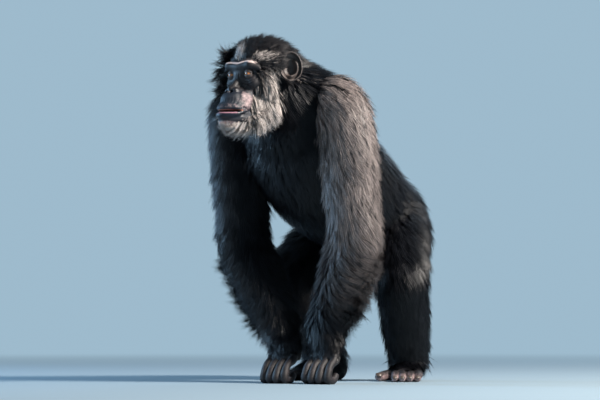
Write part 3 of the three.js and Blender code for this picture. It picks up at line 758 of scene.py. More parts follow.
# Nodes and their maths
class Value:
    """A node's output, whose maths is written as Python expressions."""

    def __init__(self, tree, socket):
        self.tree = tree
        self.socket = socket

    def maths(self, operation, *values):
        return self.tree.node("ShaderNodeMath", {"operation": operation}, dict(enumerate(values)))

    def __add__(self, other):
        return self.maths("ADD", self, other)

    def __sub__(self, other):
        return self.maths("SUBTRACT", self, other)

    def __mul__(self, other):
        return self.maths("MULTIPLY", self, other)

    def __pow__(self, other):
        return self.maths("POWER", self, other)

    def __rsub__(self, other):
        return self.maths("SUBTRACT", other, self)

    def clamped(self):
        return self.maths("MINIMUM", self.maths("MAXIMUM", self, 0.0), 1.0)

    __radd__ = __add__
    __rmul__ = __mul__


class Tree:
    """A node tree, with one way to add any node by its kind, options and inputs."""

    def __init__(self, tree):
        self.tree = tree

    def node(self, kind, options=None, inputs=None, output=0):
        node = self.tree.nodes.new(kind)
        for key, value in (options or {}).items():
            # A ramp's stops and a capture's items are added one by one
            if key == "stops":
                ramp = node.color_ramp.elements
                while len(ramp) < len(value):
                    ramp.new(0.5)
                for element, (place, colour) in zip(ramp, value):
                    element.position = place
                    element.color = colour
            elif key == "captures":
                for name, socket_type in value:
                    node.capture_items.new(socket_type, name)
            else:
                setattr(node, key, value)
        self.fill(node, inputs or {})
        return Value(self, node.outputs[output])

    def fill(self, node, inputs):
        """Links or sets the inputs of a node."""
        for key, value in inputs.items():
            if isinstance(value, Value):
                self.tree.links.new(value.socket, node.inputs[key])
            else:
                node.inputs[key].default_value = value

    def noise(self, place, scale, detail, roughness=0.5):
        inputs = {"Vector": place, "Scale": scale, "Detail": detail, "Roughness": roughness}
        return self.node("ShaderNodeTexNoise", None, inputs)

    def attribute(self, name):
        return self.node("ShaderNodeAttribute", {"attribute_name": name}, output="Fac")

    def place(self):
        """The place on the object, in metres."""
        return self.node("ShaderNodeTexCoord", output="Object")

    def captured(self, geometry, vectors, floats):
        """Captures fields at the points of a geometry, and gives it back with the kept values."""
        values = {**vectors, **floats}
        captures = [(name, "VECTOR" if name in vectors else "FLOAT") for name in values]
        inputs = {"Geometry": geometry, **{i + 1: value for i, value in enumerate(values.values())}}
        options = {"captures": captures, "domain": "POINT"}
        capture = self.node("GeometryNodeCaptureAttribute", options, inputs)
        outputs = capture.socket.node.outputs
        return capture, {name: Value(self, outputs[i + 1]) for i, name in enumerate(values)}

    def stored(self, geometry, name, value, data_type="FLOAT", domain="POINT"):
        options = {"data_type": data_type, "domain": domain}
        inputs = {"Geometry": geometry, "Name": name, "Value": value}
        return self.node("GeometryNodeStoreNamedAttribute", options, inputs)

    def vector(self, operation, *values):
        """Vector maths on values or plain tuples."""
        keys = ("Vector", "Scale") if operation == "SCALE" else range(len(values))
        return self.node("ShaderNodeVectorMath", {"operation": operation}, dict(zip(keys, values)))

    def moved(self, place, way, distance):
        return self.vector("ADD", place, self.vector("SCALE", way, distance))

    def parts(self, vector):
        split = self.node("ShaderNodeSeparateXYZ", None, {"Vector": vector})
        return [Value(self, s) for s in split.socket.node.outputs]

    def joined(self, x, y, z):
        return self.node("ShaderNodeCombineXYZ", None, {"X": x, "Y": y, "Z": z})

    def colour(self, factor, a, b, blend_type="MIX"):
        """Mixes two colours."""
        options = {"data_type": "RGBA", "blend_type": blend_type}
        return self.node("ShaderNodeMix", options, {0: factor, 6: a, 7: b}, output=2)

    def shaded(self, colour, shade):
        """A colour times a grey."""
        return self.colour(1.0, colour, self.joined(shade, shade, shade), "MULTIPLY")


def material(name):
    """A new material, its tree and its shader."""
    item = bpy.data.materials.new(name)
    item.use_nodes = True
    return item, Tree(item.node_tree), item.node_tree.nodes["Principled BSDF"]


def rgba(colour):
    return (*colour, 1.0)


# Sizes and colours that a user may change
def size(name, description, default, **rest):
    return bpy.props.FloatProperty(name=name, description=description, default=default, **rest)


def tint(name, description, default):
    return bpy.props.FloatVectorProperty(
        name=name, description=description, default=default, subtype="COLOR", min=0, max=1
    )


class CoatSettings(bpy.types.PropertyGroup):
    """The coat's sizes and colours."""

    tufts: size("Tufts per square metre", "How close the tufts stand", 62000, min=1000)
    tuft_width: size("Tuft width", "Width of a tuft at its root", 0.0056, unit="LENGTH")
    length_scale: size("Length", "Scales the length of every hair", 1.0, subtype="FACTOR")
    sway: size("Sway", "How far tufts turn from the lie of the coat", 0.42, subtype="FACTOR")
    seed: bpy.props.IntProperty(name="Seed", description="Seed of the coat's chance", default=4)
    black: tint("Black hair", "Colour of the coat", (0.003, 0.0036, 0.0058))
    # Colour of the sun-bleached hairs, also painted as the sunlit sheen on the lit left shoulder and arm
    bleach_and_sheen_brown: tint("Sun-bleached hair and painted sheen", "Colour of the paler hairs in the coat", (0.33, 0.275, 0.26))
    white: tint("White hair", "Colour of the beard and the pale patches", (0.62, 0.545, 0.51))


class SkinSettings(bpy.types.PropertyGroup):
    """The skin's sizes and colours."""

    body_cell: size("Body mesh size", "Mesh size under the coat", 0.007, unit="LENGTH")
    face_cell: size("Face mesh size", "Mesh size of the bare face", 0.0016, unit="LENGTH")
    hand_cell: size("Hand mesh size", "Mesh size of the hands and feet", 0.003, unit="LENGTH")
    dark: tint("Dark skin", "Colour of the face, ears, hands and feet", (0.014, 0.012, 0.014))
    slate: tint("Slate skin", "Colour of the muzzle", (0.009, 0.013, 0.022))
    pink: tint("Pink skin", "Colour of the pale skin", (0.4, 0.29, 0.29))
    # Also painted as the highlight on the tip of the nose
    pale: tint("Pale skin", "Colour of the brow's top edge", (0.5, 0.39, 0.37))
    lip: tint("Lip", "Colour of the edge of the upper lip", (0.42, 0.17, 0.12))
    inner: tint("Inner lip", "Colour of the inside of the lower lip", (0.3, 0.16, 0.2))
    nail_dark: tint("Dark nail", "Darker colour of the nails", (0.03, 0.025, 0.024))
    nail_pale: tint("Pale nail", "Paler colour of the nails", (0.12, 0.09, 0.075))


class EyeSettings(bpy.types.PropertyGroup):
    """The eyes' sizes and colours."""

    radius: size("Eyeball radius", "Radius of an eyeball", 0.011, unit="LENGTH")
    iris: tint("Iris", "Colour of the iris", (0.62, 0.2, 0.05))
    pupil: tint("Pupil", "Colour of the pupil and the iris' edge", (0.004, 0.003, 0.003))
    white: tint("Eyeball", "Colour of the eyeball round the iris", (0.03, 0.016, 0.012))


class StageSettings(bpy.types.PropertyGroup):
    """The floor, the light and the camera."""

    azimuth: size("Camera azimuth", "Turn of the camera from the front", math.radians(33), subtype="ANGLE")
    distance: size("Camera distance", "From the camera to what it aims at", 6.0, unit="LENGTH")
    focal: size("Focal length", "Focal length of the lens in millimetres", 135.85)
    backdrop: tint("Backdrop", "Colour of the backdrop and of the light all round", (0.36, 0.52, 0.64))
    floor: tint("Floor", "Colour of the floor", (0.21, 0.28, 0.33))
    glow: size("Backdrop strength", "How bright the backdrop looks", 0.95, subtype="FACTOR")
    ambient: size("Ambient strength", "Strength of the light all round", 0.38, subtype="FACTOR")


def settings(name):
    return getattr(bpy.context.scene, "chimp_" + name)


# Materials
def skin_material(skin):
    item, tree, shader = material("skin")
    place = tree.place()
    mottle = tree.noise(place, 90.0, 6.0, 0.7)
    broad = tree.noise(place, 24.0, 3.0)
    options = {"feature": "DISTANCE_TO_EDGE"}
    cells = tree.node("ShaderNodeTexVoronoi", options, {"Vector": place, "Scale": 420.0})
    spots = tree.noise(place, 320.0, 3.0)
    fine = tree.noise(place, 700.0, 4.0)

    def spotted(name, soft, sharp=2.2):
        mask = tree.attribute(name)
        edge = (mask + (mottle - 0.5) * soft + (spots - 0.5) * soft * 0.5 - 0.5) * sharp + 0.5
        return (edge * (mask * 8.0).clamped()).clamped()

    worn = rgba(tuple(2.4 * c for c in skin.dark))
    colour = tree.colour(((broad - 0.48) * 3.0).clamped() * 0.5, rgba(skin.dark), worn)
    colour = tree.colour(tree.attribute("slate"), colour, rgba(skin.slate))
    colour = tree.colour(spotted("pink", 1.7, 1.3), colour, rgba(skin.pink))
    colour = tree.colour(spotted("pale", 0.7, 1.6), colour, rgba(skin.pale))
    colour = tree.colour(spotted("lip", 0.6), colour, rgba(skin.lip))
    colour = tree.colour(spotted("inner", 0.4), colour, rgba(skin.inner))
    height = cells.maths("MINIMUM", cells * 3.0, 0.25) + fine * 0.25
    tree.fill(shader, {
        "Base Color": tree.shaded(colour, broad * 0.5 + mottle * 0.7 + 0.4),
        "Roughness": 0.47 + mottle * 0.2 - tree.attribute("gloss") * 0.36,
        "Normal": tree.node("ShaderNodeBump", None, {"Strength": 0.3, "Distance": 0.0012, "Height": height}),
        "Specular IOR Level": 0.38,
    })
    return item


def hair_material(coat):
    item, tree, shader = material("hair")
    tone, sun, chance, along = (tree.attribute(name) for name in ("tone", "sun", "chance", "along"))
    clump = tree.noise(tree.vector("MULTIPLY", tree.place(), (1.0, 1.0, 0.3)), 80.0, 2.0)
    lock = chance * 1.1 + (clump - 0.5) * 1.5 - 0.05
    # Browned hairs: sun-bleached hair with a painted sunlit sheen, paler towards their tips
    bleach_and_sheen_share = ((lock + 0.25) * sun * (0.45 + along * 0.6)).clamped()
    colour = tree.colour(bleach_and_sheen_share, rgba(coat.black), rgba(coat.bleach_and_sheen_brown))
    pale = ((tone * 1.5 + lock * 1.4 - 1.15) * (0.9 + along * 0.8) * (tone * 5.0).clamped()).clamped()
    tree.fill(shader, {
        "Base Color": tree.colour(pale, colour, rgba(coat.white)),
        "Roughness": 0.34 + chance * 0.16,
        "Specular IOR Level": 0.26,
    })
    return item


def eye_material(eye):
    item, tree, shader = material("eye")
    dark = rgba(eye.pupil)
    iris = rgba(eye.iris)
    stops = [(0.0, dark), (0.15, dark), (0.19, iris), (0.5, iris), (0.58, dark), (0.75, rgba(eye.white))]
    ramp = tree.node("ShaderNodeValToRGB", {"stops": stops}, {"Fac": tree.attribute("polar")})
    tree.fill(shader, {
        "Base Color": tree.shaded(ramp, tree.noise(tree.place(), 1400.0, 2.0) * 0.9 + 0.5),
        "Roughness": 0.25,
        "Coat Weight": 1.0,
        "Coat Roughness": 0.02,
    })
    return item


def nail_material(skin):
    item, tree, shader = material("nail")
    streaks = tree.noise(tree.place(), 260.0, 3.0)
    tree.fill(shader, {
        "Base Color": tree.colour(streaks, rgba(skin.nail_dark), rgba(skin.nail_pale)),
        "Roughness": 0.35,
    })
    return item


MASKS = ("slate", "pink", "pale", "lip", "inner", "gloss")


def skin_masks(p):
    """Where the skin is slate, pink, pale, lip-coloured or glossy, with painted highlights in pink and pale
    on the nose tip, the muzzle's left side and the knuckles.
    """
    h = in_head(p)
    f, l, z = h[:, 0], h[:, 1], h[:, 2]
    side = np.abs(l)
    face = smooth(f, 40, 60)
    slate = face * smooth(-z, 56, 76) * smooth(150 + z, 0, 20)
    # Pink on the lit left side of the muzzle only: pink skin with a painted highlight
    muzzle = np.sqrt(((f - 104) / 30) ** 2 + ((l - 43) / 20) ** 2 + ((z + 88) / 30) ** 2)
    muzzle_side_highlight = 0.6 * smooth(1.3 - muzzle, 0, 1.1)
    lip_spots = 0.15 * smooth(z, -113, -109) * smooth(-z, 97, 103) * smooth(f, 118, 132)
    chin = 0.66 * smooth(-z, 140, 146) * smooth(f, 100, 120) * smooth(34 - side, 0, 16)
    pink = np.maximum.reduce([muzzle_side_highlight, lip_spots, chin]) * face
    pale = smooth(4 - np.abs(z - brow_line(l)), 0, 3) * smooth(f, 62, 74) * smooth(68 - side, 0, 8)
    # A painted highlight on the tip of the nose, in the pale skin's colour
    nose_tip_highlight = 0.22 * smooth(f, 124, 129) * smooth(7 - np.abs(z + 66), 0, 4) * smooth(9 - side, 0, 5)
    front = smooth(f, 112, 126)
    upper = smooth(z, -120, -117) * smooth(-113.5 - z, 0, 2.5) * front
    chin_spot = 0.5 * smooth(-z, 142, 147) * smooth(22 - side, 0, 14) * front
    inner = 0.9 * smooth(-z, 119.5, 121) * smooth(z, -127, -123) * front * smooth(f - 0.15 * side, 124, 134)
    lower_lip = smooth(-z, 118, 121) * smooth(z, -145, -140) * front
    # A faint painted highlight in pink on the knuckles of both hands
    hand = np.zeros(len(p))
    for limb in LIMBS.values():
        reach = np.linalg.norm((p - np.array(limb["knuckles"]) - (0, -36, -36)) / (55, 26, 26), axis=1)
        hand = np.maximum(hand, 0.05 * smooth(1.4 - reach, 0, 0.7))
    foot = 0.6 * smooth(30 - p[:, 2], 0, 25) * (p[:, 0] > 0) * (p[:, 1] < 130) * (p[:, 1] > 0)
    chest = 0.4 * smooth(-p[:, 1], 250, 300) * smooth(120 - np.abs(p[:, 0]), 0, 60) * (z < -120) * (f < 60)
    nose = smooth(f, 104, 116) * smooth(z, -80, -74) * smooth(-46 - z, 0, 8)
    return {
        "slate": slate,
        "pink": np.maximum.reduce([pink * (1 - lower_lip), hand, foot, chest * (p[:, 2] > 480)]),
        "pale": np.maximum(pale, nose_tip_highlight),
        "lip": np.maximum(upper, chin_spot),
        "inner": inner,
        "gloss": np.maximum(0.4 * nose, 0.7 * front * smooth(-z, 116, 120) * smooth(z, -140, -134)),
    }


def store_masks(mesh, masks):
    """Stores every mask of the skin, as none where it isn't given."""
    for name in MASKS:
        store(mesh, name, "FLOAT", "POINT", masks.get(name, np.zeros(len(mesh.vertices))))


FLESH = [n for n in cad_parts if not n.startswith(("eye_", "ear_"))]


def vertex_data(mesh):
    """The points and normals of a mesh, the points in plan millimetres."""
    points = np.empty(len(mesh.vertices) * 3)
    mesh.vertices.foreach_get("co", points)
    normals = np.empty(len(mesh.vertices) * 3)
    mesh.vertex_normals.foreach_get("vector", normals)
    plan = (points.reshape(-1, 3) - np.array(OFFSET)) * 1000
    return plan, normals.reshape(-1, 3)


class CHIMP_OT_skin(bpy.types.Operator):
    """Makes the skin of the whole body as one piece"""

    bl_idname = "chimp.skin"
    bl_label = "Skin"

    def execute(self, context):
        skin = settings("skin")
        fine = skin.hand_cell * 1000
        shells = [patch(*FACE_BOX, skin.face_cell * 1000, from_head)]
        shells += [patch(*box, fine) for box in FINE_BOXES]
        shells.append(rough_patch(skin.body_cell * 1000))
        start = np.cumsum([0] + [len(points) for points, _ in shells])
        points = np.concatenate([points for points, _ in shells])
        faces = np.concatenate([faces + first for (_, faces), first in zip(shells, start)])
        points[:, 2] = np.maximum(points[:, 2], SKIN_GAP)
        item = mesh_object("skin", points, faces, skin_material(skin))
        plan, _ = vertex_data(item.data)
        store_masks(item.data, skin_masks(plan))
        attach(item, "root")
        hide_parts(*FLESH)
        return {"FINISHED"}


# Ears: their place, size and turn, and rings of (reach, depth) from the hollow round the rim to the root
EAR_PLACE = (3, 61.5, -3)
EAR_HEIGHT = 43
EAR_WIDTH = 28.5
EAR_LEAN = 48
EAR_TILT = 10
EAR_SIDES = 36
EAR_RINGS = [
    (0.14, -17), (0.3, -16), (0.44, -12), (0.52, -2), (0.6, 1.5), (0.68, -2), (0.78, -6.5), (0.87, -5.5),
    (0.9, 1), (0.92, 5), (0.96, 6.5), (0.995, 4), (1, -0.5), (0.96, -3), (0.86, -6), (0.6, -12), (0.42, -24),
]
EAR_FOLD = range(3, 6)
EAR_BOWL = range(3, 9)


def ear_shell(side):
    tilt = math.radians(-EAR_TILT)
    nod = np.array([[math.cos(tilt), 0, math.sin(tilt)], [0, 1, 0], [-math.sin(tilt), 0, math.cos(tilt)]])
    angle = turns(EAR_SIDES)
    lobe = 1 - 0.16 * smooth(-np.sin(angle), 0.3, 1)
    # The inner fold stands only on the side away from the face
    fold = -9 + 10 * smooth(np.cos(angle + 0.5), -0.3, 0.5)
    wave = 0.8 * np.sin(3 * angle + 1)
    rings = []
    for k, (reach, depth) in enumerate(EAR_RINGS):
        lift = (k in EAR_FOLD) * fold + (k in EAR_BOWL) * wave
        out = EAR_WIDTH * 0.86 + np.cos(angle) * EAR_WIDTH * reach * lobe
        up = np.sin(angle) * EAR_HEIGHT * reach * lobe
        rings.append(np.stack([depth + lift, out * side, up], 1))
    hollow = [[-12, (EAR_WIDTH * 0.86 - 4) * side, -3]]
    root = [[-26, EAR_WIDTH * 0.8 * side, 0]]
    points = np.concatenate([hollow, *rings, root]) @ (turned(-EAR_LEAN * side) @ nod).T
    points = from_head(points + (EAR_PLACE[0], EAR_PLACE[1] * side, EAR_PLACE[2]))
    faces = ring_faces(EAR_SIDES, len(rings))
    return points, [f[::side] for f in faces]


class CHIMP_OT_ears(bpy.types.Operator):
    """Makes both ears, each with its hollow and its rolled rim"""

    bl_idname = "chimp.ears"
    bl_label = "Ears"

    def execute(self, context):
        for word, side in (("left", 1), ("right", -1)):
            points, faces = ear_shell(side)
            item = mesh_object(f"ear_{word}_skin", points, faces, bpy.data.materials["skin"])
            ring, turn = ring_places(np.arange(len(EAR_RINGS)), EAR_SIDES, 0, 0)
            # A painted highlight in pink along the top of the rim, where the ear is also less slate
            rim = smooth(ring, 8, 9.5) * smooth(12.5 - ring, 0, 1.5) * smooth(np.sin(turn - 0.4), 0, 0.8)
            store_masks(item.data, {"pink": 0.42 * rim, "gloss": 0.7 * (ring < 9), "slate": 1 - 0.5 * rim})
            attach(item, "root")
            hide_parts(f"ear_{word}")
        return {"FINISHED"}


def leaf(outer, inner, flip=False):
    """A closed leaf between two grids of points."""
    m, n = outer.shape[:2]
    points = np.concatenate([outer.reshape(-1, 3), inner.reshape(-1, 3)])
    back = n * m
    faces = []
    for k in range(m - 1):
        for a in range(k * n, k * n + n - 1):
            b = a + back
            faces += [[a, a + 1, a + n + 1, a + n], [b + n, b + n + 1, b + 1, b]]
    edge = list(range(n)) + [k * n + n - 1 for k in range(1, m)]
    edge += [(m - 1) * n + i for i in range(n - 2, -1, -1)] + [k * n for k in range(m - 2, 0, -1)]
    for a, b in zip(edge, edge[1:] + edge[:1]):
        faces.append([a, a + back, b + back, b])
    return points, [face[::-1] for face in faces] if flip else faces


def joined_leaves(leaves):
    """Several leaves as one list of points and faces."""
    points, faces = [], []
    for leaf_points, leaf_faces in leaves:
        start = sum(len(p) for p in points)
        points.append(leaf_points)
        faces += [[start + v for v in face] for face in leaf_faces]
    return np.concatenate(points), faces


# Eyes: the mesh of an eyeball, and how far the lids stand out from the slit to their outer edge
EYE_RINGS = 28
EYE_SIDES = 40
LID_PROFILE = (1.05, 1.13, 1.16, 1.17, 1.18, 1.19, 1.2, 1.21, 1.22, 1.22, 1.22, 1.22)
LID_RADIUS = 11


class CHIMP_OT_eyes(bpy.types.Operator):
    """Makes the eyeballs and the lids"""

    bl_idname = "chimp.eyes"
    bl_label = "Eyes"

    def execute(self, context):
        eye = settings("eyes")
        finish = eye_material(eye)
        for word, side in (("left", 1), ("right", -1)):
            centre = vec(EYE_PLACE[0], EYE_PLACE[1] * side, EYE_PLACE[2])
            gaze = unit(vec(1, 0.12, 0.02))
            across = unit(np.cross([0, 0, 1], gaze))
            levels = np.linspace(0, np.pi, EYE_RINGS + 2)[1:-1]
            polar, turn = ring_places(levels, EYE_SIDES, 0, np.pi)
            ways = np.cos(polar), np.sin(polar) * np.cos(turn), np.sin(polar) * np.sin(turn)
            ball = np.stack(ways, 1) @ np.array([gaze, across, np.cross(gaze, across)])
            # The clear front of the eye stands out a little
            ball *= eye.radius * 1000 * (1 + 0.055 * smooth(0.58 - polar, 0, 0.3))[:, None]
            faces = ring_faces(EYE_SIDES, EYE_RINGS)
            item = mesh_object(f"eyeball_{word}", from_head(centre + ball), faces, finish)
            store(item.data, "polar", "FLOAT", "POINT", polar / np.pi * 2)
            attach(item, "root")
            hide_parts(f"eye_{word}")
            self.lids(word, centre)
        return {"FINISHED"}

    def lids(self, word, centre):
        """The upper and lower lid, two curved leaves round the slit."""
        angles = np.radians(np.linspace(-88, 88, 33))
        slit = np.cos(np.clip(angles * 90 / 70, -np.pi / 2, np.pi / 2))
        steps = np.linspace(0, 1, len(LID_PROFILE))[:, None] ** 1.3
        outer = LID_RADIUS * np.array(LID_PROFILE)[:, None, None]
        leaves = []
        for sign, opening in ((1, 19), (-1, 17)):
            heights = np.radians(mix(opening * slit, 84, steps)) * sign
            ways = np.cos(heights) * np.cos(angles), np.cos(heights) * np.sin(angles), np.sin(heights)
            ball = np.stack(ways, 2)
            leaves.append(leaf(ball * outer, ball * (LID_RADIUS + 0.02), sign < 0))
        points, faces = joined_leaves(leaves)
        item = mesh_object(f"lids_{word}", from_head(centre + points), faces, bpy.data.materials["skin"])
        store_masks(item.data, {})
        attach(item, "root")


def nail_places(word):
    """The tips that carry nails, as middle, forward, left and radius."""
    tubes = TUBES[word]
    ahead, left = foot_axes(LIMBS[word])
    places = [(tubes[f"toe_{i}"].centres[-1], ahead, left, TOE_RADIUS - 1) for i in range(1, 5)]
    places.append((tubes["big_toe"].centres[-1], ahead, left, 11.5))
    places.append((tubes["thumb"].centres[-1], vec(0, -0.25, -1), vec(-1, 0, 0), 8))
    return places


class CHIMP_OT_nails(bpy.types.Operator):
    """Makes the nails of the toes and thumbs"""

    bl_idname = "chimp.nails"
    bl_label = "Nails"

    def execute(self, context):
        finish = nail_material(settings("skin"))
        across = np.linspace(-0.75, 0.75, 9)[None, :]
        along = np.linspace(0.12, 1.25, 8)[:, None]
        ways = np.cos(along) * np.cos(across), np.sin(across) + 0 * along, np.sin(along) * np.cos(across)
        for word in LIMBS:
            leaves = []
            for middle, ahead, left, radius in nail_places(word):
                ahead = unit(ahead)
                axes = np.array([ahead * 1.12, left, np.cross(ahead, left)])
                way = np.stack(ways, 2) @ axes
                leaves.append(leaf(middle + way * (radius + 0.9), middle + way * (radius - 1.2)))
            points, faces = joined_leaves(leaves)
            item = mesh_object(f"nails_{word}", points, faces, finish)
            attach(item, "root")
        return {"FINISHED"}


# Strands of a tuft: their place across it at the root and the tip, their length and their roll
STRANDS = [(-0.5, -0.95, 0.9, 0.3), (-0.24, -0.4, 0.97, -0.2), (0.02, 0.1, 1.0, 0.15)]
STRANDS += [(0.26, 0.55, 0.86, -0.3), (0.5, 0.9, 0.93, 0.2)]


def tuft_mesh():
    """One tuft: narrow strands that part towards their tips. X runs along, Y across and Z up."""
    points, faces = [], []
    for root, tip, length, roll in STRANDS:
        a = len(points)
        for share, width in ((0, 0.1), (0.5, 0.14)):
            middle = root + (tip - root) * share**1.4
            points.append((share * length, middle - width, -roll * width))
            points.append((share * length, middle + width, roll * width))
        points.append((length, tip, 0))
        faces += [(a, a + 2, a + 3, a + 1), (a + 2, a + 4, a + 3)]
    mesh = bpy.data.meshes.new("tuft")
    mesh.from_pydata(points, [], faces)
    mesh.update()
    store(mesh, "strand", "FLOAT", "POINT", np.arange(len(points)) // 5 * 0.618)
    return mesh


# How deep a tuft's root lies, how far its tips stay from the floor, and its size on the unwrap
ROOT_DEPTH = 0.0015
FLOOR_GAP = 0.002
SPOT_SIZE = 0.003


def coat_tree(finish):
    """A node tree that grows tufts over the faces of one zone."""
    group = bpy.data.node_groups.new("Coat", "GeometryNodeTree")
    kinds = {
        "Skin": "Geometry",
        "Tuft": "Object",
        "Zone": "Int",
        "Tufts per square metre": "Float",
        "Tuft width": "Float",
        "Length": "Float",
        "Sway": "Float",
        "Seed": "Int",
    }
    for name, kind in kinds.items():
        group.interface.new_socket(name=name, in_out="INPUT", socket_type="NodeSocket" + kind)
    group.interface.new_socket(name="Coat", in_out="OUTPUT", socket_type="NodeSocketGeometry")
    tree = Tree(group)
    entry = tree.node("NodeGroupInput").socket.node
    given = {name: Value(tree, entry.outputs[name]) for name in kinds}

    def named(name, kind="FLOAT"):
        return tree.node("GeometryNodeInputNamedAttribute", {"data_type": kind}, {"Name": name})

    def chance(low, high, seed):
        return tree.node(
            "FunctionNodeRandomValue", {"data_type": "FLOAT"}, {2: low, 3: high, "Seed": seed}, output=1
        )

    options = {"data_type": "INT", "operation": "EQUAL"}
    same = tree.node("FunctionNodeCompare", options, {2: named("zone", "INT"), 3: given["Zone"]})
    inputs = {"Geometry": given["Skin"], "Selection": same}
    part = tree.node("GeometryNodeSeparateGeometry", {"domain": "FACE"}, inputs)
    density = given["Tufts per square metre"] * named("density")
    inputs = {"Mesh": part, "Density": density, "Seed": given["Seed"]}
    spread = tree.node("GeometryNodeDistributePointsOnFaces", {"distribute_method": "RANDOM"}, inputs)
    normal = Value(tree, spread.socket.node.outputs["Normal"])
    root = tree.node("GeometryNodeInputPosition")
    turn = (tree.noise(root, 34.0, 1.0) - 0.5) * given["Sway"] * 3.0 + chance(-0.5, 0.5, 11) * given["Sway"]
    lie = named("lie", "FLOAT_VECTOR")
    side = tree.vector("CROSS_PRODUCT", normal, lie)
    lie = tree.vector("NORMALIZE", tree.moved(lie, side, turn))
    vectors = {"Root": root, "Lie": lie, "Normal": normal, "Place": named("place", "FLOAT_VECTOR")}
    floats = {
        "Reach": named("length") * given["Length"] * chance(0.7, 1.2, 12),
        "Rise": named("depth") * chance(0.35, 1.25, 13),
        "Fall": named("fall"),
        "Chance": chance(0.0, 1.0, 14),
        "Tone": named("tone"),
        # Sun-bleached hair and painted sunlit sheen
        "Sun": named("sun"),
        "Width": named("fine") * given["Tuft width"],
    }
    capture, kept = tree.captured(spread, vectors, floats)
    tuft = tree.node("GeometryNodeObjectInfo", None, {"Object": given["Tuft"]}, output="Geometry")
    tufts = tree.node("GeometryNodeInstanceOnPoints", None, {"Points": capture, "Instance": tuft})
    tufts = tree.node("GeometryNodeRealizeInstances", None, {"Geometry": tufts})

    local = tree.vector("SUBTRACT", tree.node("GeometryNodeInputPosition"), kept["Root"])
    along, across, up = tree.parts(local)
    tufts, shape = tree.captured(tufts, {}, {"Along": along, "Across": across})
    sideways = tree.vector("CROSS_PRODUCT", kept["Normal"], kept["Lie"])
    height = kept["Rise"] * along**0.75 - kept["Fall"] * (along * along) * 0.85
    height = height - ROOT_DEPTH + up * kept["Width"]
    place = tree.moved(kept["Root"], kept["Lie"], along * kept["Reach"])
    place = tree.moved(place, sideways, across * kept["Width"])
    place = tree.moved(place, kept["Normal"], height)
    x, y, z = tree.parts(place)
    place = tree.joined(x, y, z.maths("MAXIMUM", z, FLOOR_GAP))
    coat = tree.node("GeometryNodeSetPosition", None, {"Geometry": tufts, "Position": place})
    chances = kept["Chance"] + named("strand")
    chances = chances.maths("FRACT", chances)
    values = {"along": shape["Along"], "chance": chances, "tone": kept["Tone"], "sun": kept["Sun"]}
    for name, value in values.items():
        coat = tree.stored(coat, name, value)
    # Each tuft has its own small patch of the unwrap, at its root's place
    spot = tree.joined((shape["Along"] - 0.5) * SPOT_SIZE, shape["Across"] * (SPOT_SIZE / 2), 0.0)
    coat = tree.stored(coat, "OFBake", tree.vector("ADD", kept["Place"], spot), "FLOAT2", "CORNER")
    coat = tree.node("GeometryNodeSetMaterial", None, {"Geometry": coat, "Material": finish})
    out = group.nodes.new("NodeGroupOutput")
    group.links.new(coat.socket, out.inputs[0])
    return group


# The coat's pieces: six on the trunk and head, then one for each part of a limb
TRUNK_ZONES = ["coat_back_left", "coat_back_right", "coat_belly", "coat_neck", "coat_crown", "coat_beard"]
ZONES = TRUNK_ZONES + [f"coat_{part}_{word}" for word in LIMBS for part in PARTS]
BACK_LEFT, BACK_RIGHT, BELLY, NAPE, CROWN, BEARD = range(len(TRUNK_ZONES))
# How far down the belly's skin faces, and the height in the head that parts the crown from the beard
BELLY_FACING = -0.35
CROWN_HEIGHT = -12
# How near the skin's own surface a point has to be to carry tufts
SKIN_DEPTH = 2.5
# How fine the tufts of each part are
FINENESS = [1, 0.95, 0.6] + [1, 1, 0.7, 1, 1, 0.7] * 2


